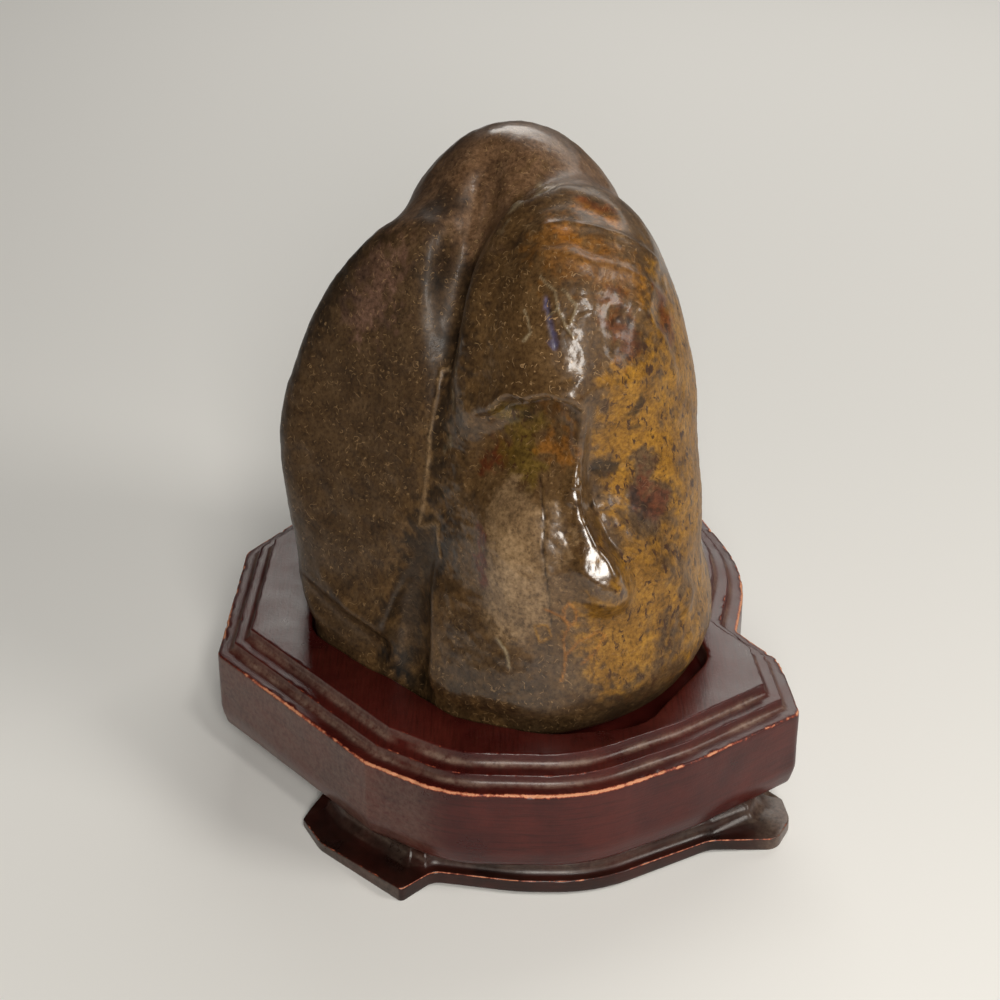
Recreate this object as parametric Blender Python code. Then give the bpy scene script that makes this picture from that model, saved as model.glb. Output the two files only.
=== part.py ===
"""Scholar's rock resting in its carved and lacquered wooden stand.

Three separate pieces, each one closed solid:
  stone        - the natural rock, one piece
  stand_body   - the stepped upper block of the stand, hollowed to take the rock
  stand_base   - the foot board under the block, with a rim and four flared feet

Frame: +Z up, origin on the surface below the middle of the stand, -Y is the front.
Lengths in this file are millimetres; MM turns them into Blender's metres.
"""
import math

import bmesh
import bpy
import numpy as np
from mathutils import Matrix, Vector

MM = 0.001
FIT_GAP = 0.3  # air kept between pieces that touch

# ---------------------------------------------------------------- stand, heights
BASE_TOP = 8.7  # top of the foot board
BODY_BOTTOM = BASE_TOP + FIT_GAP
WALL_TOP = 35.0  # upper edge of the outer wall
PLATEAU = 41.6  # flat top round the rock
RECESS_FLOOR = 34.1  # floor of the hollow that the rock stands in
RIM_LIFT = 1.2  # the foot board stands this far clear of the table between its feet

# Outline of the outer wall's upper edge, anticlockwise from above:
# x, y, corner radius, steps in the corner's arc.
WALL_OUTLINE = (
    (81.6, -57.2, 2.5, 2),
    (78.8, -31.0, 9.0, 3),
    (68.0, -15.2, 2.0, 2),
    (74.5, 17.0, 70.0, 5),
    (57.0, 71.0, 20.0, 4),
    (22.0, 95.5, 34.0, 5),
    (-20.0, 95.5, 24.0, 4),
    (-47.0, 76.0, 6.0, 2),
    (-79.0, 29.8, 3.0, 2),
    (-81.6, -27.8, 3.0, 2),
    (-36.7, -80.3, 3.0, 2),
    (-15.0, -94.4, 35.0, 4),
    (22.0, -95.8, 45.0, 5),
    (52.0, -79.3, 60.0, 2),
)
MIN_RADIUS = 0.8  # no inset corner gets sharper than this

# Section of the stepped block, from the underside to the plateau: inset, height.
BODY_SECTION = (
    (8.0, BODY_BOTTOM),
    (4.6, 9.2),
    (1.9, 10.9),
    (0.6, 14.0),
    (0.0, 19.0),
    (0.0, 34.2),
    (0.6, WALL_TOP),
    (2.7, 35.1),
    (4.1, 36.1),
    (4.5, 37.6),
    (5.0, 38.0),
    (7.3, 38.1),
    (8.6, 39.2),
    (9.1, 41.1),
    (9.6, PLATEAU),
)

# The hollow for the rock, at the plateau.
RECESS_OUTLINE = (
    (58.6, -40.0, 14.0, 3),
    (53.6, -15.0, 18.0, 2),
    (59.5, 22.0, 30.0, 3),
    (47.0, 66.0, 22.0, 4),
    (0.0, 79.0, 40.0, 4),
    (-43.0, 63.0, 26.0, 4),
    (-58.0, 14.0, 40.0, 3),
    (-55.0, -26.5, 16.0, 3),
    (-38.0, -45.0, 16.0, 2),
    (-31.0, -50.5, 12.0, 2),
    (-13.5, -69.0, 18.0, 3),
    (12.0, -77.8, 25.0, 3),
    (38.0, -73.5, 16.0, 3),
)
RECESS_LIP = 0.8  # chamfer round the mouth of the hollow
CUTTER_RISE = 1.0  # the cutter's flared top stands this far out of the mouth

# Foot board: its outline on the table, a slim rim tucked under the block with a flared foot
# at each of four corners: x, y, corner radius, steps, height of the upright face, foot or rim.
RIM_FACE = 5.0
RIM, FOOT = 0.0, 1.0
BASE_OUTLINE = (
    (79.0, -53.6, 1.5, 2, 3.2, FOOT),
    (71.5, -47.5, 3.0, 2, RIM_FACE, RIM),
    (70.0, -32.0, 8.0, 2, RIM_FACE, RIM),
    (60.6, -14.0, 3.0, 2, RIM_FACE, RIM),
    (66.0, 17.0, 60.0, 4, RIM_FACE, RIM),
    (59.0, 49.0, 6.0, 2, RIM_FACE, RIM),
    (66.0, 60.0, 1.5, 2, 3.2, FOOT),
    (63.0, 75.0, 9.0, 3, 3.4, FOOT),
    (47.5, 84.0, 1.5, 2, 3.8, FOOT),
    (38.0, 79.0, 4.0, 2, RIM_FACE, RIM),
    (19.0, 87.5, 28.0, 4, RIM_FACE, RIM),
    (-18.0, 88.0, 20.0, 3, RIM_FACE, RIM),
    (-28.0, 83.0, 3.0, 2, RIM_FACE, RIM),
    (-34.0, 93.0, 1.5, 2, 3.6, FOOT),
    (-53.0, 80.5, 12.0, 3, 3.4, FOOT),
    (-62.5, 66.0, 1.5, 2, 3.0, FOOT),
    (-54.0, 54.0, 4.0, 2, RIM_FACE, RIM),
    (-69.5, 27.0, 5.0, 2, RIM_FACE, RIM),
    (-71.0, -22.5, 5.0, 2, RIM_FACE, RIM),
    (-49.0, -49.5, 5.0, 2, RIM_FACE, RIM),
    (-55.9, -62.0, 1.2, 2, 2.6, FOOT),
    (-50.5, -73.0, 12.0, 3, 3.0, FOOT),
    (-27.3, -95.2, 1.2, 2, 4.3, FOOT),
    (-18.5, -88.4, 5.0, 2, RIM_FACE, RIM),
    (4.0, -92.6, 60.0, 3, RIM_FACE, RIM),
    (25.0, -92.8, 40.0, 4, RIM_FACE, RIM),
    (56.5, -74.6, 9.0, 3, 4.6, RIM),
    (75.6, -72.6, 5.0, 3, 3.8, FOOT),
    (80.2, -63.0, 8.0, 2, 3.4, FOOT),
)
NECK_INSET = 3.4  # the board's hollow upper side runs back this far behind its edge
FOOT_HOLLOW = 7.5  # and this much further on a foot
PAD_STEP = 1.5  # width of the small step from a foot's pad up to the board's underside
# The hollow upper side, from the upright face inwards: share of the way out, rise.
COVE = ((0.7, 0.1), (0.4, 0.6), (0.16, 1.7))


# ---------------------------------------------------------------- outlines
def rounded_outline(corners, inset):
    """Points of a closed outline whose edges are moved inwards, with its corners rounded."""
    points = np.array([corner[:2] for corner in corners], float)
    edges = np.roll(points, -1, axis=0) - points
    edges /= np.linalg.norm(edges, axis=1)[:, None]
    inward = np.stack([-edges[:, 1], edges[:, 0]], axis=1)
    ring = []
    for index, corner in enumerate(corners):
        before, after = edges[index - 1], edges[index]
        mitre = inward[index - 1] + inward[index]
        mitre /= 1.0 + inward[index - 1] @ inward[index]
        tip = points[index] + inset * mitre
        turn = math.atan2(before[0] * after[1] - before[1] * after[0], before @ after)
        radius = max(corner[2] - inset, MIN_RADIUS) if turn > 0.0 else corner[2]
        reach = radius * math.tan(abs(turn) / 2.0)
        start = tip - reach * before
        centre = start + math.copysign(radius, turn) * inward[index - 1]
        for step in range(corner[3] + 1):
            angle = turn * step / corner[3]
            arm = start - centre
            ring.append(
                (
                    centre[0] + arm[0] * math.cos(angle) - arm[1] * math.sin(angle),
                    centre[1] + arm[0] * math.sin(angle) + arm[1] * math.cos(angle),
                )
            )
    return np.array(ring)


def loft(name, rings):
    """Mesh object skinned through closed rings of equal point count, capped at both ends."""
    bm = bmesh.new()
    loops = [[bm.verts.new(Vector(point) * MM) for point in ring] for ring in rings]
    for lower, upper in zip(loops, loops[1:]):
        for index, corner in enumerate(lower):
            bm.faces.new((lower[index - 1], corner, upper[index], upper[index - 1]))
    bm.faces.new(reversed(loops[0]))
    bm.faces.new(loops[-1])
    bmesh.ops.recalc_face_normals(bm, faces=bm.faces)
    mesh = bpy.data.meshes.new(name)
    bm.to_mesh(mesh)
    bm.free()
    return bpy.data.objects.new(name, mesh)


def ring_at(outline, inset, height):
    """One ring of points: an outline moved inwards, at a height."""
    flat = rounded_outline(outline, inset)
    return np.column_stack([flat, np.full(len(flat), height)])


# ---------------------------------------------------------------- materials
def finish(name, colour, roughness, metallic=0.0):
    """A plain Principled material in one linear colour."""
    material = bpy.data.materials.new(name)
    material.use_nodes = True
    shader = material.node_tree.nodes["Principled BSDF"]
    shader.inputs["Base Color"].default_value = (*colour, 1.0)
    shader.inputs["Roughness"].default_value = roughness
    shader.inputs["Metallic"].default_value = metallic
    return material


# ---------------------------------------------------------------- stone, as a distance field
def lobe(p, centre, radii, lean_right):
    """Distance (negative inside) to an egg shape that leans to the right, in degrees."""
    axes = Matrix.Rotation(math.radians(lean_right), 3, "Y")
    local = (p - np.array(centre, float)) @ np.array(axes)
    scaled = local / np.array(radii, float)
    near = np.linalg.norm(scaled, axis=1)
    steep = np.linalg.norm(scaled / np.array(radii, float), axis=1)
    return near * (near - 1.0) / np.maximum(steep, 1e-9)


def join(a, b, blend):
    """Union of two fields with a fillet of about the given size."""
    mix = np.clip(0.5 + 0.5 * (b - a) / blend, 0.0, 1.0)
    return b + (a - b) * mix - blend * mix * (1.0 - mix)


def cut(a, b, blend):
    """What two fields share, with a rounded edge of about the given size."""
    return -join(-a, -b, blend)


def trace_distance(p, path):
    """Distance from each point to a path of straight stretches."""
    path = np.array(path, float)
    best = np.full(len(p), np.inf)
    for start, end in zip(path, path[1:]):
        along = end - start
        share = np.clip((p - start) @ along / (along @ along), 0.0, 1.0)
        best = np.minimum(best, np.linalg.norm(p - start - share[:, None] * along, axis=1))
    return best


def gouge(p, path):
    """Distance to a chain of tapering round rods; each path point ends with its radius."""
    path = np.array(path, float)
    best = np.full(len(p), np.inf)
    for start, end in zip(path, path[1:]):
        along = (end - start)[:3]
        share = np.clip((p - start[:3]) @ along / (along @ along), 0.0, 1.0)
        reach = np.linalg.norm(p - start[:3] - share[:, None] * along, axis=1)
        best = np.minimum(best, reach - start[3] - share * (end[3] - start[3]))
    return best


def swell(distance, width):
    """1 on a path or point, easing to 0 a little beyond the given half width."""
    return np.exp(-((distance / width) ** 2))


def flat_side(p, point, normal):
    """Distance beyond a plane."""
    normal = np.array(normal, float)
    return (p - np.array(point, float)) @ (normal / np.linalg.norm(normal))


def outline_distance(p, outline):
    """Distance in plan to a closed outline, negative inside it."""
    best = np.full(len(p), np.inf)
    inside = np.zeros(len(p), bool)
    for start, end in zip(outline, np.roll(outline, -1, axis=0)):
        along = end - start
        offset = p[:, :2] - start
        share = np.clip(offset @ along / (along @ along), 0.0, 1.0)
        best = np.minimum(best, np.linalg.norm(offset - share[:, None] * along, axis=1))
        crosses = (start[1] > p[:, 1]) != (end[1] > p[:, 1])
        if crosses.any():
            reach = start[0] + (p[:, 1] - start[1]) * along[0] / (along[1] or 1e-9)
            inside ^= crosses & (p[:, 0] < reach)
    return np.where(inside, -best, best)


STONE_FLOOR = RECESS_FLOOR + FIT_GAP
STONE_CLEARANCE = 1.4  # air between the stone and the wall of the hollow
FLARE_FROM = 44.0  # above this height the stone may swell out over the hollow's mouth
FLARE_LEFT = 0.55  # how far it swells for each millimetre of height
FLARE_RIGHT = 1.1
FLARE_SPREAD = 50.0  # width over which the one flare turns into the other
SHOE_TOP = 75.0  # above this height the hollow's outline no longer matters
SHOE_EDGE = 4.0
FLOOR_EDGE = 6.0  # how round the stone's lower edge is

# The stone's masses, egg shapes that lean on each other: centre, half sizes, lean to the right.
PEAK = ((3.3, 17.0, 117.0), (37.8, 40.0, 60.0), 0.0)
BACK = ((0.0, 30.0, 78.0), (50.0, 46.0, 56.0), 0.0)
WING = ((-19.0, -4.0, 95.0), (43.0, 42.0, 67.0), 10.0)
HEEL = ((-1.0, 2.0, 46.0), (61.0, 78.0, 36.0), 0.0)
BROW = ((18.5, -14.0, 108.5), (32.6, 49.0, 62.5), 0.0)
BELLY = ((18.5, -26.0, 79.0), (36.3, 46.5, 42.0), 0.0)
TOE = ((18.0, -28.0, 53.5), (40.0, 45.5, 24.0), 0.0)
# How softly each mass runs into the ones before it.
BACK_BLEND, WING_BLEND, HEEL_BLEND = 16.0, 6.0, 8.0
BELLY_BLEND, TOE_BLEND = 10.0, 12.0
# The front mass meets the rest in a crisp crease high up and in a soft one low down.
CREASE_HEIGHTS, CREASE_BLENDS = (62.0, 125.0), (9.0, 4.0)

# Flat sides of the main mass: a point, the way out, how round the edge is.
FLAT_SIDES = (
    ((-40.0, -23.0, 100.0), (-0.61, -0.731, 0.306), 6.0),
    ((-65.0, 0.0, 92.0), (-1.0, 0.0, -0.13), 6.0),
)
# Rounded rim down the front mass's left side, over the cleft: x, y, z, radius.
FRONT_RIM = (
    (16.0, -14.0, 168.0, 2.0),
    (7.0, -15.5, 164.5, 3.0),
    (0.5, -20.0, 157.5, 3.6),
    (-3.5, -27.0, 148.5, 4.0),
    (-6.0, -32.0, 137.0, 4.8),
    (-6.8, -34.0, 124.0, 6.2),
    (-6.0, -35.0, 108.0, 8.5),
    (-4.5, -38.5, 90.0, 12.0),
    (-3.5, -44.5, 70.0, 15.0),
)
RIM_BLEND = 6.0
# The deep cleft down the front, between the left wing and the front mass.
CLEFT = (
    (-4.0, 4.0, 172.0, 1.0),
    (-6.5, -5.0, 163.0, 3.0),
    (-9.5, -13.0, 155.5, 4.6),
    (-12.5, -21.0, 146.0, 5.2),
    (-14.0, -28.5, 134.0, 4.6),
    (-15.0, -36.0, 122.0, 3.4),
    (-16.0, -43.5, 108.0, 2.4),
    (-18.0, -49.5, 92.0, 1.5),
)
CLEFT_EDGE = 10.0
# Shallow valley over the top, between the back peak and the front mass.
SADDLE = (
    (31.0, -1.0, 168.0, 2.0),
    (16.0, -9.0, 175.0, 3.5),
    (6.0, -12.0, 170.0, 3.0),
)
# Ledge under the wing's lower lip.
UNDERCUT = (
    (-66.0, -14.0, 59.0, 2.0),
    (-57.0, -27.0, 54.0, 5.0),
    (-47.0, -40.0, 50.0, 7.0),
    (-38.0, -48.5, 48.0, 7.5),
)
# Valley between the wing's lower right edge and the belly.
VALE = (
    (-17.0, -45.5, 95.0, 2.0),
    (-19.5, -48.5, 82.0, 4.6),
    (-23.5, -50.0, 68.0, 7.0),
    (-26.0, -52.5, 56.0, 8.6),
    (-28.0, -56.0, 44.0, 8.6),
)
VALE_EDGE = 1.5
# Long hollow down the back, and one on the right flank.
BACK_VALLEY = (
    (-20.0, 60.0, 150.0, 6.0),
    (-16.0, 76.0, 120.0, 11.0),
    (-10.0, 86.0, 92.0, 11.0),
    (-8.0, 96.0, 66.0, 10.0),
)
FLANK_VALLEY = (
    (48.0, 18.0, 152.0, 5.0),
    (62.0, 16.0, 124.0, 10.0),
    (66.0, 22.0, 98.0, 9.0),
    (70.0, 30.0, 78.0, 6.0),
)
# Each groove with how round its edges are.
GROOVES = ((SADDLE, 3.0), (UNDERCUT, 1.5), (BACK_VALLEY, 14.0), (FLANK_VALLEY, 12.0))
# Round hollows, and swellings where the depth is negative: centre, half width, depth.
HOLLOWS = (
    ((-65.0, -8.0, 95.0), 17.0, -1.4),
    ((53.0, -20.0, 116.0), 16.0, -1.8),
    ((26.0, -30.0, 171.0), 7.0, 2.2),
    ((-34.0, 40.0, 130.0), 16.0, 5.0),
    ((42.0, 52.0, 96.0), 14.0, 5.0),
    ((-52.0, 32.0, 84.0), 12.0, 4.0),
    ((14.0, 60.0, 146.0), 14.0, 4.0),
)
# Raised edges: path, half width, height.
RIDGES = (
    (((-7.0, -43.0, 121.0), (4.0, -57.0, 129.0), (17.0, -61.0, 133.0)), 4.5, 2.0),
    (((18.8, -58.0, 124.0), (18.6, -65.7, 108.0)), 2.5, 0.8),
    (((18.6, -65.7, 108.0), (21.2, -69.7, 98.7), (23.5, -73.0, 90.5)), 3.0, 1.8),
    (((25.4, -73.0, 89.5), (28.0, -74.0, 83.5)), 6.2, 6.6),
    (((28.3, -61.0, 97.0), (38.5, -60.0, 83.5), (48.8, -53.7, 70.4)), 4.5, 2.0),
    (((0.0, -64.0, 92.0), (4.0, -68.0, 72.0)), 14.0, 2.0),
)
# The worn flat along the blade and over the bulge at its lower end.
FACET_POINT, FACET_WAY = (23.5, -74.1, 90.5), (0.0, -0.899, 0.438)
FACET_TOP = 109.0  # above this height it fades out
FACET_EDGE = 1.5
# Edges on the front beyond which the rock steps back and slowly comes out again. Each point
# has its place along the edge, its place across it and the depth of the step there.
BROW_EDGE = (
    (-9.0, 121.0, 0.0),
    (-4.0, 124.0, 2.4),
    (1.0, 127.5, 5.0),
    (7.0, 130.5, 6.4),
    (13.0, 132.5, 6.4),
    (17.0, 132.0, 4.0),
    (20.5, 130.5, 0.0),
)
BLADE_EDGE = (
    (72.0, 33.0, 0.0),
    (80.0, 31.5, 1.2),
    (88.0, 29.0, 2.6),
    (94.0, 24.5, 4.2),
    (102.0, 20.0, 6.0),
    (108.0, 18.8, 6.4),
    (118.0, 19.0, 5.6),
    (126.0, 19.4, 2.8),
    (134.0, 19.8, 0.0),
)
BROW_STEP = (3.0, 6.0, 30.0)  # how wide the step is, how far its floor runs, where it ends
BLADE_STEP = (3.6, 8.0, 27.0)
STEP_REACH = (20.0, 40.0)  # the steps fade in between these distances in front of the middle


def ease(value, low, high):
    """0 below the first bound and 1 above the second, with a smooth run between them."""
    share = np.clip((value - low) / (high - low), 0.0, 1.0)
    return share * share * (3.0 - 2.0 * share)


def step_back(along, across, edge, step):
    """Depth of a step beyond an edge of the front; across grows away from the edge."""
    place, line, depth = np.array(edge, float).T
    past = across(np.interp(along, place, line))
    width, floor, end = step
    profile = ease(past, 0.0, width) * (1.0 - ease(past, floor, end))
    return np.interp(along, place, depth) * profile


def front_steps(p):
    """How far the front steps back under the brow and to the right of the blade."""
    x, z = p[:, 0], p[:, 2]
    under_brow = step_back(x, lambda line: line - z, BROW_EDGE, BROW_STEP)
    beside_blade = step_back(z, lambda line: x - line, BLADE_EDGE, BLADE_STEP)
    return (under_brow + beside_blade) * ease(-p[:, 1], *STEP_REACH)


def main_mass(p):
    """The peak, the left wing, the back and the foot in one, with the wing's flat side."""
    body = join(lobe(p, *PEAK), lobe(p, *BACK), BACK_BLEND)
    body = join(body, lobe(p, *WING), WING_BLEND)
    body = join(body, lobe(p, *HEEL), HEEL_BLEND)
    for point, normal, edge in FLAT_SIDES:
        body = cut(body, flat_side(p, point, normal), edge)
    body = cut(body, -gouge(p, CLEFT), CLEFT_EDGE)
    return cut(body, -gouge(p, VALE), VALE_EDGE)


def front_mass(p):
    """The brow, the belly and the toe in one, with the rounded rim on its left."""
    body = join(lobe(p, *BROW), lobe(p, *BELLY), BELLY_BLEND)
    body = join(body, lobe(p, *TOE), TOE_BLEND)
    return join(body, gouge(p, FRONT_RIM), RIM_BLEND)


def shoe(p):
    """Distance beyond the room that the hollow leaves for the stone, flaring above its mouth."""
    room = np.full(len(p), -SHOE_TOP)
    low = p[:, 2] < SHOE_TOP
    room[low] = outline_distance(p[low], rounded_outline(RECESS_OUTLINE, STONE_CLEARANCE))
    share = np.clip(0.5 + p[:, 0] / FLARE_SPREAD, 0.0, 1.0)
    flare = FLARE_LEFT + (FLARE_RIGHT - FLARE_LEFT) * share
    return room - flare * np.maximum(p[:, 2] - FLARE_FROM, 0.0)


def stone_field(p):
    """Distance to the stone's surface, negative inside, for points in millimetres."""
    crease = np.interp(p[:, 2], CREASE_HEIGHTS, CREASE_BLENDS)
    body = join(main_mass(p), front_mass(p) + front_steps(p), crease)
    for groove, edge in GROOVES:
        body = cut(body, -gouge(p, groove), edge)
    for centre, width, depth in HOLLOWS:
        body = body + depth * swell(np.linalg.norm(p - np.array(centre), axis=1), width)
    for path, width, height in RIDGES:
        body = body - height * swell(trace_distance(p, path), width)
    facet = flat_side(p, FACET_POINT, FACET_WAY) - np.maximum(p[:, 2] - FACET_TOP, 0.0)
    body = cut(body, facet, FACET_EDGE)
    body = cut(body, shoe(p), SHOE_EDGE)
    return cut(body, STONE_FLOOR - p[:, 2], FLOOR_EDGE)


STONE_CORE = (4.0, 4.0, 92.0)  # nearly every part of the surface is seen from here
BALL_SUBDIVISIONS = 5
MARCH_STEPS = 60
MARCH_PACE = 0.7  # share of the free distance that one step covers
LONGEST_STEP = 20.0
EVENING_ROUNDS = 14  # smoothing passes that each return to the field's surface
SOFTENING_ROUNDS = 1  # last passes that do not
SETTLE_ROUNDS = 2
LONGEST_SLIDE = 2.0  # a point moves no further than this in one settling round
LEAST_SLOPE = 0.25  # keeps a slide short where the field is nearly level
SLOPE_STEP = 0.2


def slope(field, p):
    """Direction in which the field grows fastest, and how fast."""
    grad = np.empty_like(p)
    for axis in range(3):
        nudge = np.zeros(3)
        nudge[axis] = SLOPE_STEP
        grad[:, axis] = (field(p + nudge) - field(p - nudge)) / (2.0 * SLOPE_STEP)
    return grad


def shrink_to(field, directions):
    """Points where rays from the stone's core first leave it."""
    core = np.array(STONE_CORE)
    reach = np.zeros(len(directions))
    for _ in range(MARCH_STEPS):
        room = -field(core + directions * reach[:, None])
        reach += MARCH_PACE * np.clip(room, -1.0, LONGEST_STEP)
    return core + directions * reach[:, None]


def settle(field, p):
    """Move points along the field's slope onto its surface."""
    for _ in range(SETTLE_ROUNDS):
        grad = slope(field, p)
        size = np.maximum(np.einsum("ij,ij->i", grad, grad), LEAST_SLOPE)
        slide = np.clip(field(p), -LONGEST_SLIDE, LONGEST_SLIDE)
        p = p - (slide / size)[:, None] * grad
    return p


def stone():
    """The rock: a ball of triangles drawn onto the field, then evened out along the surface."""
    bm = bmesh.new()
    bmesh.ops.create_icosphere(bm, subdivisions=BALL_SUBDIVISIONS, radius=1.0)
    p = shrink_to(stone_field, np.array([vert.co[:] for vert in bm.verts]))
    for last in (False,) * EVENING_ROUNDS + (True,) * SOFTENING_ROUNDS:
        for vert, spot in zip(bm.verts, p):
            vert.co = spot
        bmesh.ops.smooth_vert(
            bm, verts=bm.verts, factor=0.5, use_axis_x=True, use_axis_y=True, use_axis_z=True
        )
        p = np.array([vert.co[:] for vert in bm.verts])
        if not last:
            p = settle(stone_field, p)
    for vert, spot in zip(bm.verts, p):
        vert.co = Vector(spot) * MM
    mesh = bpy.data.meshes.new("stone")
    bm.to_mesh(mesh)
    bm.free()
    mesh.shade_smooth()
    return bpy.data.objects.new("stone", mesh)


# ---------------------------------------------------------------- stand
def stand_body(cutters):
    """The stepped block, with the hollow for the rock cut into its top."""
    block = loft("stand_body", [ring_at(WALL_OUTLINE, inset, z) for inset, z in BODY_SECTION])
    hollow = loft(
        "recess_cutter",
        [
            ring_at(RECESS_OUTLINE, RECESS_LIP, RECESS_FLOOR),
            ring_at(RECESS_OUTLINE, RECESS_LIP, PLATEAU - RECESS_LIP),
            ring_at(RECESS_OUTLINE, -CUTTER_RISE, PLATEAU + CUTTER_RISE),
        ],
    )
    hollow.hide_render = True
    hollow.display_type = "WIRE"
    cutters.objects.link(hollow)
    opening = block.modifiers.new("hollow", "BOOLEAN")
    opening.operation = "DIFFERENCE"
    opening.solver = "EXACT"
    opening.object = hollow
    return block


def stand_base():
    """The foot board: a low rim that flares out into a foot at each of four corners."""
    outline = [corner[:4] for corner in BASE_OUTLINE]
    face = np.concatenate([np.full(corner[3] + 1, corner[4]) for corner in BASE_OUTLINE])
    foot = np.concatenate([np.full(corner[3] + 1, corner[5]) for corner in BASE_OUTLINE])
    ground = rounded_outline(outline, 0.0)
    inwards = -ground / np.linalg.norm(ground, axis=1)[:, None]
    neck = rounded_outline(outline, NECK_INSET) + FOOT_HOLLOW * foot[:, None] * inwards

    def ring(share, height):
        flat = neck + share * (ground - neck)
        return np.column_stack([flat, np.broadcast_to(height, len(flat))])

    lift = RIM_LIFT * (1.0 - foot)
    underside = ring(0.0, RIM_LIFT)
    underside[:, :2] += PAD_STEP * inwards
    rings = [
        underside,
        ring(0.0, lift),
        ring(1.0, lift),
        ring(1.0, face),
        *(ring(share, face + rise) for share, rise in COVE),
        ring(0.0, BASE_TOP),
    ]
    return loft("stand_base", rings)


CREASE_ANGLE = 30.0  # edges that turn by more degrees than this stay crisp


def place(scene_part, collection, material, smooth_angle):
    """Put a finished piece in the model's collection with its finish."""
    collection.objects.link(scene_part)
    scene_part.data.materials.append(material)
    if smooth_angle:
        scene_part.data.shade_smooth()
        scene_part.data.set_sharp_from_angle(angle=math.radians(smooth_angle))


def clear():
    """Start from an empty scene."""
    for leftover in list(bpy.data.objects):
        bpy.data.objects.remove(leftover, do_unlink=True)


def main():
    """Build the three pieces, each as a closed mesh with its finish."""
    clear()
    parts = bpy.data.collections.new("scholars_rock")
    cutters = bpy.data.collections.new("cutters")
    bpy.context.scene.collection.children.link(parts)
    bpy.context.scene.collection.children.link(cutters)
    waxed_stone = finish("waxed_stone", (0.16, 0.09, 0.03), 0.3)
    lacquered_wood = finish("lacquered_wood", (0.09, 0.012, 0.01), 0.35)
    place(stone(), parts, waxed_stone, 0.0)
    place(stand_body(cutters), parts, lacquered_wood, CREASE_ANGLE)
    place(stand_base(), parts, lacquered_wood, CREASE_ANGLE)


main()
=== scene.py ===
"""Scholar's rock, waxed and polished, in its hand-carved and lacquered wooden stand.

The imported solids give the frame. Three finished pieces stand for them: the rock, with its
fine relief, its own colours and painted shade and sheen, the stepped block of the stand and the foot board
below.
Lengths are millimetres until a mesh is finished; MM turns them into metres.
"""
import logging
import math
from collections.abc import Callable
from dataclasses import dataclass
from enum import Enum
from functools import partial

import bmesh
import bpy
import numpy as np
from mathutils import Matrix, Vector, noise


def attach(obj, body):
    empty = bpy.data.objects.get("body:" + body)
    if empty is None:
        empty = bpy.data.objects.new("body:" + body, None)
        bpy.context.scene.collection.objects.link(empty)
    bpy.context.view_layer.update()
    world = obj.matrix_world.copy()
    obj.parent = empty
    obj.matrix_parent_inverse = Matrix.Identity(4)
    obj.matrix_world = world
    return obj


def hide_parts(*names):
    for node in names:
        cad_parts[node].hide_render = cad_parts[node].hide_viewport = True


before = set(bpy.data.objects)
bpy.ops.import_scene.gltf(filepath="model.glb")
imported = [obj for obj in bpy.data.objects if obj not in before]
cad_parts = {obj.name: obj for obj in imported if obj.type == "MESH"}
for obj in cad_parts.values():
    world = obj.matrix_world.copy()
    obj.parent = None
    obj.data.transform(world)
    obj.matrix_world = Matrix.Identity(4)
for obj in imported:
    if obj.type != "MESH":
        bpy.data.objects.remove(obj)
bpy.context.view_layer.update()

MM = 0.001
LEAST_RADIUS = 0.8  # of a moved outline's convex corners
LOG = logging.getLogger("scholars_rock")

Socket = bpy.types.NodeSocket
Array = np.ndarray
Point = tuple[float, float, float]
Path = tuple[Point, ...]
Course = tuple[tuple[float, float], ...]
Rods = tuple[tuple[float, float, float, float], ...]
Outline = tuple[tuple[float, float, float], ...]


# ---------------------------------------------------------------- distances
def lobe(p: Array, centre: Point, radii: Point, lean: float = 0.0) -> Array:
    """Distance, negative inside, to an egg shape.

    Args:
        p: Points, one in each row.
        centre: Middle of the shape.
        radii: Half sizes along its own axes.
        lean: Degrees that its top leans to the right.

    Returns:
        One distance for each point.
    """
    turned = (p - np.array(centre)) @ np.array(Matrix.Rotation(math.radians(lean), 3, "Y"))
    scaled = turned / np.array(radii)
    near = np.linalg.norm(scaled, axis=1)
    steep = np.linalg.norm(scaled / np.array(radii), axis=1)
    return near * (near - 1.0) / np.maximum(steep, 1e-9)


def join(a: Array, b: Array, blend: Array | float) -> Array:
    """Union of two distances, with a fillet of about the given size."""
    mix = np.clip(0.5 + 0.5 * (b - a) / blend, 0.0, 1.0)
    return b + (a - b) * mix - blend * mix * (1.0 - mix)


def cut(a: Array, b: Array, blend: float) -> Array:
    """What two distances share, with a rounded edge of about the given size."""
    return -join(-a, -b, blend)


def trace_distance(p: Array, path: Path | Course) -> Array:
    """Distance from each point to a path of straight stretches, or to a single point.

    Args:
        p: Points, one in each row.
        path: Corners of the path.

    Returns:
        One distance for each point.
    """
    points = np.array(path, float)
    best = np.linalg.norm(p - points[0], axis=1)
    for start, end in zip(points, points[1:]):
        along = end - start
        share = np.clip((p - start) @ along / (along @ along), 0.0, 1.0)
        best = np.minimum(best, np.linalg.norm(p - start - share[:, None] * along, axis=1))
    return best


def rods(p: Array, chain: Rods) -> Array:
    """Distance to a chain of tapering round rods; each point ends with its radius.

    Args:
        p: Points, one in each row.
        chain: Points of the rods' middle line.

    Returns:
        One distance for each point.
    """
    points = np.array(chain, float)
    best = np.full(len(p), np.inf)
    for start, end in zip(points, points[1:]):
        along = (end - start)[:3]
        share = np.clip((p - start[:3]) @ along / (along @ along), 0.0, 1.0)
        reach = np.linalg.norm(p - start[:3] - share[:, None] * along, axis=1)
        best = np.minimum(best, reach - start[3] - share * (end[3] - start[3]))
    return best


def swell(distance: Array, width: float) -> Array:
    """1 on a path or point, easing to 0 a little beyond the given half width."""
    return np.exp(-((distance / width) ** 2))


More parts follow.
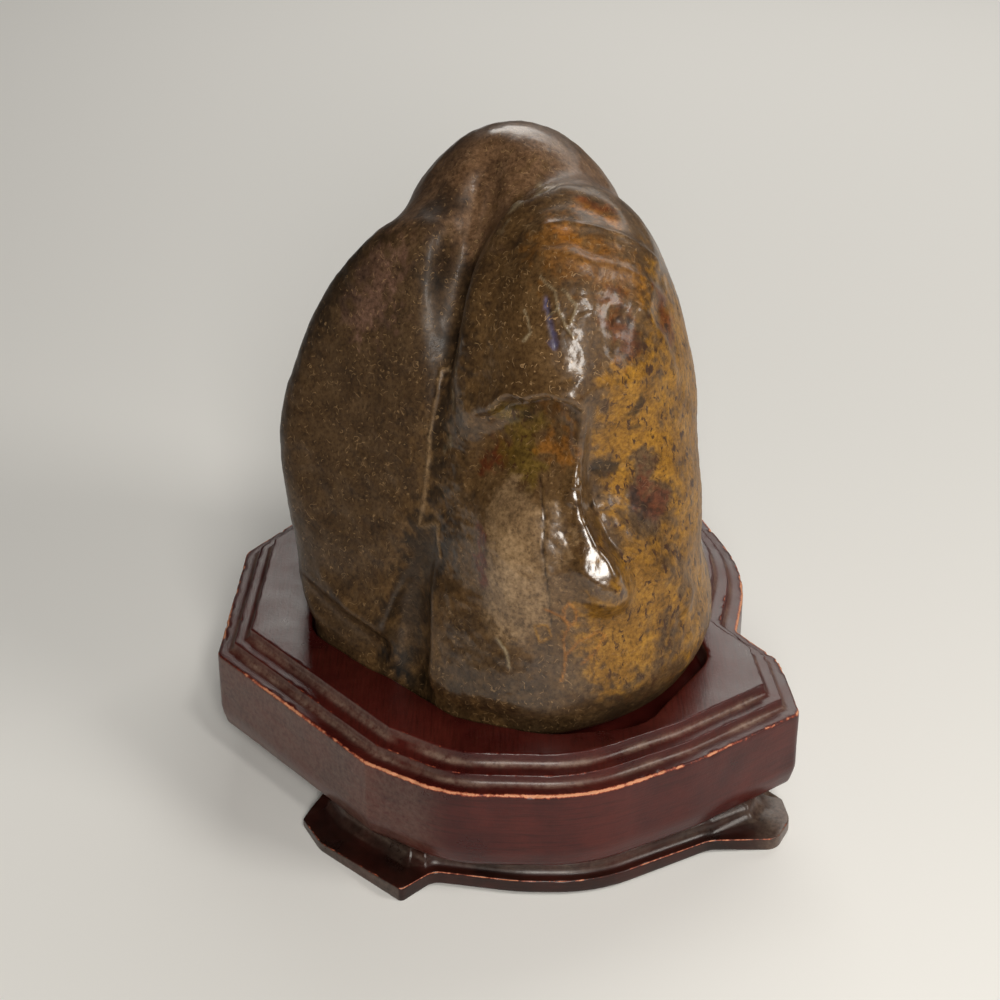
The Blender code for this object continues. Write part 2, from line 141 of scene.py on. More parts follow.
def ease(value: Array, low: float, high: float) -> Array:
    """0 below the low value, 1 above the high one, and a soft step between."""
    share = np.clip((value - low) / (high - low), 0.0, 1.0)
    return share * share * (3.0 - 2.0 * share)


def grain_noise(p: Array, size: Point | float, octaves: int, seed: float) -> Array:
    """Fractal noise of about -1 to 1 at each point.

    Args:
        p: Points, one in each row.
        size: Width of its largest lumps, the same all ways or along x, y and z.
        octaves: How many finer layers lie on each other.
        seed: Picks another pattern.

    Returns:
        One value for each point.
    """
    spots = p / np.array(size) + seed * np.array((7.31, 3.77, 5.19))
    return np.array([noise.fractal(spot, 1.0, 2.0, octaves) for spot in spots.tolist()])


def outline_distance(p: Array, outline: Array) -> Array:
    """Distance in plan to a closed outline, negative inside it.

    Args:
        p: Points, one in each row.
        outline: Corners of the outline, one in each row.

    Returns:
        One distance for each point.
    """
    best = np.full(len(p), np.inf)
    inside = np.zeros(len(p), bool)
    for start, end in zip(outline, np.roll(outline, -1, axis=0)):
        along = end - start
        offset = p[:, :2] - start
        share = np.clip(offset @ along / (along @ along), 0.0, 1.0)
        best = np.minimum(best, np.linalg.norm(offset - share[:, None] * along, axis=1))
        crosses = (start[1] > p[:, 1]) != (end[1] > p[:, 1])
        if crosses.any():
            reach = start[0] + (p[:, 1] - start[1]) * along[0] / (along[1] or 1e-9)
            inside ^= crosses & (p[:, 0] < reach)
    return np.where(inside, -best, best)


# ---------------------------------------------------------------- outlines
def offset_corners(corners: Outline, inset: float) -> list[tuple[float, float, float]]:
    """Corners of a closed outline whose edges are moved inwards; convex corners get sharper.

    Args:
        corners: Place and radius of each.
        inset: How far the edges move.

    Returns:
        The moved corners, each with its new radius.
    """
    points = np.array([corner[:2] for corner in corners])
    edges = np.roll(points, -1, axis=0) - points
    edges /= np.linalg.norm(edges, axis=1)[:, None]
    inward = np.stack([-edges[:, 1], edges[:, 0]], axis=1)
    moved = []
    for index, corner in enumerate(corners):
        before, after = edges[index - 1], edges[index]
        mitre = (inward[index - 1] + inward[index]) / (1.0 + inward[index - 1] @ inward[index])
        convex = before[0] * after[1] - before[1] * after[0] > 0.0
        radius = max(corner[2] - inset, LEAST_RADIUS) if convex else corner[2]
        moved.append((*(points[index] + inset * mitre), radius))
    return moved


def corner_turn(last: Point, corner: Point, following: Point) -> tuple[Array, float]:
    """Direction of the edge into a corner, and the angle that the outline turns by there.

    Args:
        last: The corner before.
        corner: The corner itself.
        following: The corner after.

    Returns:
        The direction as a unit vector, and the angle in radians, positive to the left.
    """
    here = np.array(corner[:2])
    before, after = here - np.array(last[:2]), np.array(following[:2]) - here
    before, after = before / np.linalg.norm(before), after / np.linalg.norm(after)
    return before, math.atan2(before[0] * after[1] - before[1] * after[0], before @ after)


def corner_arc(corner: Point, before: Array, turn: float, steps: int) -> Array:
    """Points round a corner, given as its place and its radius.

    Args:
        corner: Its place and radius.
        before: Direction of the edge into it.
        turn: Angle in radians.
        steps: How many steps the arc has.

    Returns:
        The arc's points, one in each row.
    """
    start = np.array(corner[:2]) - corner[2] * math.tan(abs(turn) / 2.0) * before
    centre = start + math.copysign(corner[2], turn) * np.array((-before[1], before[0]))
    arm = start - centre
    across = np.array((-arm[1], arm[0]))
    angles = turn * np.linspace(0.0, 1.0, steps + 1)
    return centre + np.outer(np.cos(angles), arm) + np.outer(np.sin(angles), across)


def step_counts(corners: Outline, spacing: float) -> list[tuple[int, int]]:
    """Steps for each corner's arc and for the straight edge after it.

    Args:
        corners: Place and radius of each.
        spacing: Longest step.

    Returns:
        For each corner, the steps of its arc and of its edge.
    """
    counts = []
    for index, corner in enumerate(corners):
        following = corners[(index + 1) % len(corners)]
        _, turn = corner_turn(corners[index - 1], corner, following)
        edge = math.dist(corner[:2], following[:2])
        arc = max(3, math.ceil(abs(turn) * corner[2] / spacing))
        counts.append((arc, max(1, math.ceil(edge / spacing))))
    return counts


def between(start: Array, end: Array, steps: int) -> Array:
    """Even steps on the straight way from one point to another, without the two themselves."""
    shares = np.linspace(0.0, 1.0, steps + 1)[1:-1, None]
    return start + shares * (end - start)


def rounded(corners: Outline, counts: list[tuple[int, int]]) -> Array:
    """Points round a closed outline: an arc at each corner and even steps between.

    Args:
        corners: Place and radius of each.
        counts: Steps for each arc and edge.

    Returns:
        The outline's points, one in each row.
    """
    arcs = []
    for index, corner in enumerate(corners):
        before, turn = corner_turn(corners[index - 1], corner, corners[(index + 1) % len(corners)])
        arcs.append(corner_arc(corner, before, turn, counts[index][0]))
    ring = []
    for index, arc in enumerate(arcs):
        ring += [arc, between(arc[-1], arcs[(index + 1) % len(arcs)][0], counts[index][1])]
    return np.concatenate(ring)


def rounded_section(corners: Outline, spacing: float) -> Array:
    """Points along an open section whose corners are rounded, with its two ends kept.

    Args:
        corners: Place and radius of each.
        spacing: Longest step on an arc; straight stretches take 2.5 times that.

    Returns:
        The section's points, one in each row.
    """
    path = [np.array([corners[0][:2]])]
    pieces = []
    for last, corner, following in zip(corners, corners[1:], corners[2:]):
        before, turn = corner_turn(last, corner, following)
        steps = max(4, math.ceil(abs(turn) * corner[2] / spacing))
        pieces.append(corner_arc(corner, before, turn, steps))
    for piece in (*pieces, np.array([corners[-1][:2]])):
        steps = max(1, math.ceil(math.dist(piece[0], path[-1][-1]) / (2.5 * spacing)))
        path += [between(path[-1][-1], piece[0], steps), piece]
    return np.concatenate(path)


# ---------------------------------------------------------------- materials
def linear(code: str) -> tuple[float, float, float, float]:
    """Linear colour of an sRGB hex code."""
    shares = [int(code[place : place + 2], 16) / 255.0 for place in (1, 3, 5)]
    flat = [s / 12.92 if s <= 0.04045 else ((s + 0.055) / 1.055) ** 2.4 for s in shares]
    return (flat[0], flat[1], flat[2], 1.0)


def plug(node: bpy.types.Node, inputs: dict[str | int, object]) -> None:
    """Link or set inputs of a node; another node stands for its first output.

    Args:
        node: The node to fill in.
        inputs: Each input's socket to link, node to link or value to set.
    """
    for name, value in inputs.items():
        if isinstance(value, bpy.types.Node):
            value = value.outputs[0]
        if isinstance(value, bpy.types.NodeSocket):
            node.id_data.links.new(value, node.inputs[name])
        else:
            node.inputs[name].default_value = value


def add_node(
    tree: bpy.types.NodeTree,
    kind: str,
    inputs: dict[str | int, object],
    stops: tuple[tuple[float, str], ...] = (),
    **settings: object,
) -> bpy.types.Node:
    """Add a node with its settings, its inputs and, on a colour ramp, its stops.

    Args:
        tree: The material's nodes.
        kind: Blender's name for the node, after "ShaderNode".
        inputs: Each input's socket to link, node to link or value to set.
        stops: Place and sRGB colour of each stop.
        settings: Properties of the node itself.

    Returns:
        The new node.
    """
    node = tree.nodes.new("ShaderNode" + kind)
    for name, value in settings.items():
        setattr(node, name, value)
    plug(node, inputs)
    if stops:
        ramp = node.color_ramp.elements
        while len(ramp) < len(stops):
            ramp.new(0.5)
        for stop, (place, code) in zip(ramp, stops):
            stop.position = place
            stop.color = linear(code)
    return node


def new_material(name: str) -> tuple[bpy.types.Material, Callable[..., bpy.types.Node]]:
    """Start a material; what adds a node to it comes along."""
    material = bpy.data.materials.new(name)
    material.use_nodes = True
    return material, partial(add_node, material.node_tree)


class Mineral(Enum):
    """Colours of the rock, each named for what it looks like; the inky one is also painted shade in creases,
    under overhangs and low down, and the pearl and mauve ones are also painted sheen.
    """

    # umber is also painted shade beside the blade's crest and low on the front
    UMBER = "#5e4932"
    BROWN = "#705637"
    DUSK = "#80634a"
    OCHRE = "#a87a28"
    AMBER = "#b5772a"
    RUST = "#6e3218"
    MOSS = "#7d662c"
    # mauve is also painted sheen on the smooth face low on the front
    MAUVE = "#a08564"
    # pearl is also painted sheen along ridges and along the front mass's left edge
    PEARL_AND_SHEEN = "#b5a78a"
    # ink is mostly painted shade: the cleft, the vale, under the brow, the left flank and low down
    INK_AND_SHADE = "#231b13"
    VIOLET = "#6a6890"
    BLUSH = "#8a6a5c"


@dataclass(frozen=True)
class WaxedStone:
    """Hard brown limestone, rubbed smooth and waxed: a soft gloss over a mottled ground."""

    iron: str = "#3b2413"
    hairline: str = "#9a7b55"
    dull: float = 0.5  # roughness where nothing has rubbed it
    rubbed: float = 0.24  # roughness where it is well polished
    ior: float = 1.42
    wax: float = 0.9  # a thin wax coat, which gives the clear glints
    wax_roughness: float = 0.13
    mottle: float = 8.0  # mm, blotches of darker and lighter mineral
    speckle: float = 1.1  # mm, crystals of 0.5 mm drawn twice as coarse so that they show
    fleck: float = 1.9  # mm, dark iron flecks, longer up and down than across
    scratch_width: float = 0.22  # mm, coarser than the real hairlines so that they show
    scratch_relief: float = 0.05  # mm
    pore_relief: float = 0.05  # mm

    def scratches(self, tree: bpy.types.NodeTree, place: Socket, size: float, share: float) -> Socket:
        """Short curved scratches at random angles, one at most in each cell of a scatter.

        Args:
            tree: The material's nodes.
            place: Object coordinates.
            size: Length of the longest scratches in millimetres.
            share: How much of the cells have one.

        Returns:
            1 on a scratch and 0 elsewhere.
        """
        node = partial(add_node, tree)
        scaled = node("VectorMath", {0: place, 3: 1.0 / (size * MM)}, operation="SCALE")
        stray = node("TexNoise", {"Vector": scaled, "Scale": 1.3}).outputs["Color"]
        scaled = node("VectorMath", {0: stray, 1: (0.7, 0.7, 0.7), 2: scaled}, operation="MULTIPLY_ADD")
        cells = node("TexVoronoi", {"Vector": scaled, "Scale": 1.0})
        offset = node("VectorMath", {0: scaled, 1: cells.outputs["Position"]}, operation="SUBTRACT")
        chance = cells.outputs["Color"]
        way = node("VectorMath", {0: chance, 1: (0.5, 0.5, 0.5)}, operation="SUBTRACT")
        way = node("VectorMath", {0: way}, operation="NORMALIZE")
        across = node("VectorMath", {0: offset, 1: way}, operation="DOT_PRODUCT").outputs["Value"]
        bend = node("VectorMath", {0: offset, 1: offset}, operation="DOT_PRODUCT").outputs["Value"]
        chance = node("SeparateColor", {0: chance})
        curl = node("MapRange", {"Value": chance.outputs[1], "To Min": -1.3, "To Max": 1.3})
        across = node("Math", {0: bend, 1: curl, 2: across}, operation="MULTIPLY_ADD")
        across = node("Math", {0: across}, operation="ABSOLUTE")
        half = self.scratch_width / 2.0 / size
        fade = {"To Min": 1.0, "To Max": 0.0}
        line = node("MapRange", {"Value": across, "From Min": 0.4 * half, "From Max": half, **fade})
        ends = node("MapRange", {"Value": cells, "From Min": 0.34, "From Max": 0.46, **fade})
        line = node("Math", {0: line, 1: ends}, operation="MULTIPLY")
        chosen = node("Math", {0: chance.outputs[2], 1: share}, operation="LESS_THAN")
        return node("Math", {0: line, 1: chosen}, operation="MULTIPLY").outputs[0]

    def build(self) -> bpy.types.Material:
        """Make the material; it reads the rock's colour attribute, which holds painted shade and painted
        sheen as well as its own colours, and its fleck, hair and polish attributes.

        Returns:
            The material.
        """
        material, node = new_material("waxed_limestone")
        place = node("TexCoord", {}).outputs["Object"]
        # This colour attribute carries painted shade and painted sheen as well as the rock's own colours.
        ground = node("Attribute", {}, attribute_name="mineral_and_painted_light").outputs["Color"]
        layers = [node("Attribute", {}, attribute_name=name) for name in ("flecks", "hairs", "polish")]
        flecks, hairs, polish = (layer.outputs["Fac"] for layer in layers)

        # The rock's colour, with its painted shade and sheen, lighter and darker in blotches and again in
        # small crystals.
        tones = (
            (self.mottle, 6.0, 0.9, ((0.3, "#9c938a"), (0.5, "#dcd6ce"), (0.68, "#ffffff"))),
            (self.speckle, 3.0, 0.85, ((0.3, "#8c8680"), (0.48, "#d4d0ca"), (0.66, "#ffffff"))),
        )
        grains = []
        for size, detail, strength, stops in tones:
            pattern = {"Vector": place, "Scale": 1.0 / (size * MM), "Detail": detail, "Roughness": 0.65}
            grain = node("TexNoise", pattern)
            tone = node("ValToRGB", {"Fac": grain}, stops)
            mixed = {"Factor": strength, 6: ground, 7: tone}
            ground = node("Mix", mixed, data_type="RGBA", blend_type="MULTIPLY").outputs[2]
            grains.append(grain)
        # Dark iron flecks where the ground is ochre.
        upright = node("Mapping", {"Vector": place, "Scale": (1.0, 1.0, 0.55)})
        pattern = {"Vector": upright, "Scale": 1.0 / (self.fleck * MM), "Detail": 4.0, "Roughness": 0.6}
        fleck = node("TexNoise", {**pattern, "Distortion": 0.4})
        fleck = node("MapRange", {"Value": fleck, "From Min": 0.565, "From Max": 0.63})
        fleck = node("Math", {0: fleck, 1: flecks}, operation="MULTIPLY", use_clamp=True)
        # Pale hairline scratches in two lengths.
        fine = self.scratches(material.node_tree, place, 1.5, 0.5)
        long = self.scratches(material.node_tree, place, 3.0, 0.3)
        line = node("Math", {0: fine, 1: long}, operation="MAXIMUM")
        line = node("Math", {0: line, 1: hairs}, operation="MULTIPLY", use_clamp=True)
        for share, code in ((fleck, self.iron), (line, self.hairline)):
            ground = node("Mix", {"Factor": share, 6: ground, 7: linear(code)}, data_type="RGBA").outputs[2]

        # Gloss: dull where untouched, glassy where rubbed and waxed, always a little uneven.
        rough = node("MapRange", {"Value": polish, "To Min": self.dull, "To Max": self.rubbed})
        rough = node("Math", {0: grains[0], 1: -0.22, 2: rough}, operation="MULTIPLY_ADD")
        rough = node("Math", {0: rough, 1: 0.11}, operation="ADD")
        coat = node("Math", {0: polish, 1: self.wax}, operation="MULTIPLY")
        pores = node("Bump", {"Height": grains[1], "Distance": self.pore_relief * MM, "Strength": 1.0})
        relief = {"Height": line, "Distance": self.scratch_relief * MM, "Strength": 1.0, "Normal": pores}
        finish = {
            "Base Color": ground,
            "Roughness": rough,
            "IOR": self.ior,
            "Specular IOR Level": 0.35,
            "Coat Weight": coat,
            "Coat Roughness": self.wax_roughness,
            "Normal": node("Bump", relief),
            "Coat Normal": pores,
        }
        plug(material.node_tree.nodes["Principled BSDF"], finish)
        return material


@dataclass(frozen=True)
class RedLacquer:
    """Hardwood under thin red-brown lacquer, brushed on by hand and worn through at the edges."""

    name: str
    deep: str = "#360d0b"
    warm: str = "#4a1812"
    rusty: str = "#93432c"
    worn: str = "#c88a66"
    # pale dust colour, also used as painted sheen
    dusty_sheen: str = "#a8917f"
    roughness: float = 0.3
    ior: float = 1.4
    blotch: float = 16.0  # mm, thicker and thinner lacquer
    brush: float = 0.55  # mm between brush marks
    brush_relief: float = 0.03  # mm
    fluff: float = 1.6  # mm, clots of dust
    ragged: float = 1.3  # mm, tatters of the worn edges
    ragged_relief: float = 0.05  # mm
    wall_top: float = 0.035  # metres, where the level grain gives way to the top's

    def build(self) -> bpy.types.Material:
        """Make the material; it reads the piece's own wear attribute and one that holds dust and painted
        sheen.

        Returns:
            The material.
        """
        material, node = new_material(self.name)
        place = node("TexCoord", {}).outputs["Object"]
        layers = [node("Attribute", {}, attribute_name=name) for name in ("wear", "dust_and_sheen")]
        wear, dust_and_sheen = (layer.outputs["Fac"] for layer in layers)

        pattern = {"Vector": place, "Scale": 1.0 / (self.blotch * MM), "Detail": 5.0, "Roughness": 0.6}
        patches = node("TexNoise", pattern)
        colour = node("ValToRGB", {"Fac": patches}, ((0.35, self.deep), (0.65, self.warm)))
        # Grain and brush marks run front to back on top and level along the wall.
        along = node("Mapping", {"Vector": place, "Scale": (1.0, 0.06, 1.0)})
        level = node("Mapping", {"Vector": place, "Scale": (0.05, 0.05, 1.0)})
        height = node("SeparateXYZ", {"Vector": place}).outputs["Z"]
        low, high = self.wall_top - 0.5 * MM, self.wall_top + 0.5 * MM
        on_top = node("MapRange", {"Value": height, "From Min": low, "From Max": high})
        along = node("Mix", {"Factor": on_top, 4: level, 5: along}, data_type="VECTOR").outputs[1]
        pattern = {"Vector": along, "Scale": 1.0 / (self.brush * MM), "Detail": 3.0, "Roughness": 0.6}
        streaks = node("TexNoise", pattern)
        tint = node("ValToRGB", {"Fac": streaks}, ((0.3, "#b9a9a4"), (0.55, "#ffffff")))
        mixed = {"Factor": 0.7, 6: colour, 7: tint}
        colour = node("Mix", mixed, data_type="RGBA", blend_type="MULTIPLY").outputs[2]
        # Dust in the hollows of the mouldings, which also stands in for a dull painted highlight there; the
        # same pale colour is the painted sheen on the walls that face left and on the right foot.
        pattern = {"Vector": place, "Scale": 1.0 / (self.fluff * MM), "Detail": 4.0, "Roughness": 0.7}
        dusty_sheen = node("MapRange", {"Value": node("TexNoise", pattern), "From Min": 0.25, "From Max": 0.65})
        dusty_sheen = node("Math", {0: dusty_sheen, 1: dust_and_sheen}, operation="MULTIPLY", use_clamp=True)
        # Wear: a rusty fringe, then bare pale wood.
        pattern = {"Vector": place, "Scale": 1.0 / (self.ragged * MM), "Detail": 4.0, "Roughness": 0.7}
        ragged = node("TexNoise", pattern)
        bare = node("Math", {0: wear, 1: ragged}, operation="ADD")
        fringe = node("MapRange", {"Value": bare, "From Min": 0.86, "From Max": 1.04})
        wood = node("MapRange", {"Value": bare, "From Min": 1.02, "From Max": 1.16})
        for share, code in ((dusty_sheen, self.dusty_sheen), (fringe, self.rusty), (wood, self.worn)):
            colour = node("Mix", {"Factor": share, 6: colour, 7: linear(code)}, data_type="RGBA").outputs[2]

        spread = {"To Min": self.roughness - 0.05, "To Max": self.roughness + 0.1}
        gloss = node("MapRange", {"Value": patches, "From Min": 0.3, "From Max": 0.7, **spread})
        gloss = node("Math", {0: dusty_sheen, 1: 0.3, 2: gloss}, operation="MULTIPLY_ADD")
        gloss = node("Math", {0: fringe, 1: 0.25, 2: gloss}, operation="MULTIPLY_ADD", use_clamp=True)
        relief = {"Height": streaks, "Distance": self.brush_relief * MM, "Strength": 1.0}
        brushed = node("Bump", relief)
        relief = {"Height": ragged, "Distance": self.ragged_relief * MM, "Strength": 1.0, "Normal": brushed}
        finish = {
            "Base Color": colour,
            "Roughness": gloss,
            "IOR": self.ior,
            "Coat Weight": 0.08,
            "Coat Roughness": 0.2,
            "Normal": node("Bump", relief),
        }
        plug(material.node_tree.nodes["Principled BSDF"], finish)
        return material


# ---------------------------------------------------------------- meshes
def vertex_array(bm: bmesh.types.BMesh) -> Array:
    """Where the vertices are, one in each row."""
    return np.array([vert.co[:] for vert in bm.verts])


def move_vertices(bm: bmesh.types.BMesh, p: Array) -> None:
    """Put the vertices at the given points."""
    for vert, spot in zip(bm.verts, p.tolist()):
        vert.co = spot


def closed_band(rings: list[Array], layers: dict[str, Array]) -> bmesh.types.BMesh:
    """Skin through closed rings of equal count: a grid bent round, sewn and capped.

    Args:
        rings: Points of each ring, from the first end to the last.
        layers: Named values, one row for each ring and one column for each point.

    Returns:
        The closed skin, with its faces outwards.
    """
    count = len(rings[0])
    bm = bmesh.new()
    bmesh.ops.create_grid(bm, x_segments=count, y_segments=len(rings) - 1, size=1.0)
    bm.verts.ensure_lookup_table()
    for name, table in layers.items():
        layer = bm.verts.layers.float.new(name)
        for row, values in enumerate(table):
            for column in range(count + 1):
                bm.verts[row * (count + 1) + column][layer] = values[column % count]
    for row, ring in enumerate(rings):
        for column in range(count + 1):
            bm.verts[row * (count + 1) + column].co = ring[column % count]
    bmesh.ops.remove_doubles(bm, verts=bm.verts, dist=1e-5)
    bmesh.ops.holes_fill(bm, edges=bm.edges, sides=0)
    bmesh.ops.recalc_face_normals(bm, faces=bm.faces)
    return bm


def finish_piece(name: str, bm: bmesh.types.BMesh, material: bpy.types.Material) -> bpy.types.Object:
    """Turn a mesh in millimetres into a smooth-shaded piece at the origin.

    Args:
        name: Name of the piece.
        bm: Its mesh, which is used up.
        material: Its finish.

    Returns:
        The piece.
    """
    bmesh.ops.scale(bm, vec=(MM, MM, MM), verts=bm.verts)
    mesh = bpy.data.meshes.new(name)
    bm.to_mesh(mesh)
    bm.free()
    mesh.shade_smooth()
    mesh.materials.append(material)
    piece = bpy.data.objects.new(name, mesh)
    bpy.context.scene.collection.objects.link(piece)
    return piece


# ---------------------------------------------------------------- the hollow and the stand's sizes
FIT_GAP = 0.3
BASE_TOP = 8.7
PLATEAU = 41.6
RECESS_FLOOR = 34.1

# The hollow for the rock, at the plateau: x, y, corner radius, anticlockwise from above.
RECESS_OUTLINE: Outline = (
    (58.6, -40.0, 14.0),
    (53.6, -15.0, 18.0),
    (59.5, 22.0, 30.0),
    (47.0, 66.0, 22.0),
    (0.0, 79.0, 40.0),
    (-43.0, 63.0, 26.0),
    (-58.0, 14.0, 40.0),
    (-55.0, -26.5, 16.0),
    (-38.0, -45.0, 16.0),
    (-31.0, -50.5, 12.0),
    (-13.5, -69.0, 18.0),
    (12.0, -77.8, 25.0),
    (38.0, -73.5, 16.0),
)


# ---------------------------------------------------------------- the rock
@dataclass(frozen=True)
class Mark:
    """A line or spot worked into the front of the rock.

    Its course is drawn on the front elevation (x, z), so it lies on whatever surface is there.
    """

    course: Course
    width: float  # half width
    height: float  # negative where it is cut in
    mineral_and_painted_light: Mineral | None = None  # colour along it, if it has one


@dataclass(frozen=True)
class Swelling:
    """A raised line or lump in space, or a hollow where the height is negative."""

    path: Path
    width: float
    height: float


@dataclass(frozen=True)
class FrontEdge:
    """An edge on the front of the rock beyond which it steps back, then comes out again."""

    runs_up: bool  # the rock steps back on its right, otherwise below it
    points: Path  # place along the edge, place across it, depth of the step there
    width: float  # width of the step itself
    floor: float  # how far the step's floor runs
    end: float  # where the floor has come out again

    def depth(self, p: Array) -> Array:
        """How far each point steps back.

        Args:
            p: Points, one in each row.

        Returns:
            One depth for each point.
        """
        along, across = (p[:, 2], p[:, 0]) if self.runs_up else (p[:, 0], -p[:, 2])
        place, line, depth = np.array(self.points).T
        line = line if self.runs_up else -line
        past = across - np.interp(along, place, line)
        profile = ease(past, 0.0, self.width) * (1.0 - ease(past, self.floor, self.end))
        return np.interp(along, place, depth) * profile * ease(-p[:, 1], 20.0, 40.0)


@dataclass(frozen=True)
class Patch:
    """A place where one colour lies over the others: most are the rock's own, some are painted shade and
    some painted sheen.
    """

    mineral_and_painted_light: Mineral
    path: Path
    reach: float  # how far from its path it goes
    edge: float  # width of its border
    strength: float = 1.0


@dataclass
class ScholarsRock:
    """The rock: its masses, its grooves and hollows, and the fine marks on its skin."""

    name: str = "rock"
    floor: float = RECESS_FLOOR + FIT_GAP
    clearance: float = 1.4
    flare_from: float = 44.0
    flare_left: float = 0.55
    flare_right: float = 1.1
    flare_spread: float = 50.0
    shoe_top: float = 75.0
    shoe_edge: float = 4.0
    floor_edge: float = 6.0
    core: Point = (4.0, 4.0, 92.0)
    first_cuts: int = 31
    blow_rounds: int = 60
    blow_share: float = 0.7  # of the room left, filled in each round
    evening_rounds: int = 12
    fine_front: float = 12.0  # in front of here the squares are halved twice, above fine_low
    fine_low: float = 44.0
    fine_crown: float = 160.0
    finest_front: float = -27.0  # and three times in front of here
    finest_middle: float = 11.0
    finest_half_width: float = 28.0
    finest_low: float = 52.0
    shake: float = 0.35  # how far the drawn marks stray
    shake_size: float = 3.0
    drift: float = 3.5  # how far the borders of the colour patches stray, painted shade and sheen among them
    drift_size: float = 8.0
    fray: float = 0.9  # how ragged those borders are, as a share of their width
    fray_size: float = 2.4
    mark_tint: float = 0.8
    detail_floor: float = 50.0
    least_polish: float = 0.05

    peak: tuple[Point, Point] = ((3.3, 17.0, 117.0), (37.8, 40.0, 60.0))
    back: tuple[Point, Point] = ((0.0, 30.0, 78.0), (50.0, 46.0, 56.0))
    wing: tuple[Point, Point] = ((-19.0, -4.0, 95.0), (43.0, 42.0, 67.0))
    wing_lean: float = 10.0
    heel: tuple[Point, Point] = ((-1.0, 2.0, 46.0), (61.0, 78.0, 36.0))
    brow: tuple[Point, Point] = ((18.5, -14.0, 108.5), (32.6, 49.0, 62.5))
    belly: tuple[Point, Point] = ((18.5, -26.0, 79.0), (36.3, 46.5, 42.0))
    toe: tuple[Point, Point] = ((18.0, -28.0, 53.5), (40.0, 45.5, 24.0))
    back_blend: float = 16.0
    wing_blend: float = 6.0
    heel_blend: float = 8.0
    belly_blend: float = 10.0
    toe_blend: float = 12.0
    rim_blend: float = 6.0
    cleft_edge: float = 10.0
    vale_edge: float = 1.5
    crease_heights: tuple[float, float] = (62.0, 125.0)
    crease_blends: tuple[float, float] = (9.0, 4.0)

    # The worn flat along the blade and over the bulge at its lower end.
    facet_point: Point = (23.5, -74.1, 90.5)
    facet_way: Point = (0.0, -0.899, 0.438)
    facet_top: float = 109.0
    facet_edge: float = 1.5

    flat_sides = (
        ((-40, -23, 100), (-0.61, -0.731, 0.306), 6),
        ((-65, 0, 92), (-1, 0, -0.13), 6),
    )
    front_rim = (
        (16, -14, 168, 2),
        (7, -15.5, 164.5, 3),
        (0.5, -20, 157.5, 3.6),
        (-3.5, -27, 148.5, 4),
        (-6, -32, 137, 4.8),
        (-6.8, -34, 124, 6.2),
        (-6, -35, 108, 8.5),
        (-4.5, -38.5, 90, 12),
        (-3.5, -44.5, 70, 15),
    )
    cleft = (
        (-4, 4, 172, 1),
        (-6.5, -5, 163, 3),
        (-9.5, -13, 155.5, 4.6),
        (-12.5, -21, 146, 5.2),
        (-14, -28.5, 134, 4.6),
        (-15, -36, 122, 3.4),
        (-16, -43.5, 108, 2.4),
        (-18, -49.5, 92, 1.5),
    )
    saddle = ((31, -1, 168, 2), (16, -9, 175, 3.5), (6, -12, 170, 3))
    undercut = (
        (-66, -14, 59, 2),
        (-57, -27, 54, 5),
        (-47, -40, 50, 7),
        (-38, -48.5, 48, 7.5),
    )
    vale = (
        (-17, -45.5, 95, 2),
        (-19.5, -48.5, 82, 4.6),
        (-23.5, -50, 68, 7),
        (-26, -52.5, 56, 8.6),
        (-28, -56, 44, 8.6),
    )
    back_valley = (
        (-20, 60, 150, 6),
        (-16, 76, 120, 11),
        (-10, 86, 92, 11),
        (-8, 96, 66, 10),
    )
    flank_valley = (
        (48, 18, 152, 5),
        (62, 16, 124, 10),
        (66, 22, 98, 9),
        (70, 30, 78, 6),
    )
    # The large hollows and ridges, the same as in the solid.
    forms = (
        Swelling(((-65, -8, 95),), 17, 1.4),
        Swelling(((53, -20, 116),), 16, 1.8),
        Swelling(((26, -30, 171),), 7, -2.2),
        Swelling(((-34, 40, 130),), 16, -5),
        Swelling(((42, 52, 96),), 14, -5),
        Swelling(((-52, 32, 84),), 12, -4),
        Swelling(((14, 60, 146),), 14, -4),
        Swelling(((-7, -43, 121), (4, -57, 129), (17, -61, 133)), 4.5, 2),
        Swelling(((18.8, -58, 124), (18.6, -65.7, 108)), 2.5, 0.8),
        Swelling(((18.6, -65.7, 108), (21.2, -69.7, 98.7), (23.5, -73, 90.5)), 3, 1.8),
        Swelling(((25.4, -73, 89.5), (28, -74, 83.5)), 6.2, 6.6),
        Swelling(((28.3, -61, 97), (38.5, -60, 83.5), (48.8, -53.7, 70.4)), 4.5, 2),
        Swelling(((0, -64, 92), (4, -68, 72)), 14, 2),
    )
    # Edges on the front beyond which the rock steps back and slowly comes out again.
    brow_edge = FrontEdge(
        runs_up=False,
        points=(
            (-9, 121, 0),
            (-4, 124, 2.4),
            (1, 127.5, 5),
            (7, 130.5, 6.4),
            (13, 132.5, 6.4),
            (17, 132, 4),
            (20.5, 130.5, 0),
        ),
        width=3,
        floor=6,
        end=30,
    )
    blade_edge = FrontEdge(
        runs_up=True,
        points=(
            (72, 33, 0),
            (80, 31.5, 1.2),
            (88, 29, 2.6),
            (94, 24.5, 4.2),
            (102, 20, 6),
            (108, 18.8, 6.4),
            (118, 19, 5.6),
            (126, 19.4, 2.8),
            (134, 19.8, 0),
        ),
        width=3.6,
        floor=8,
        end=27,
    )
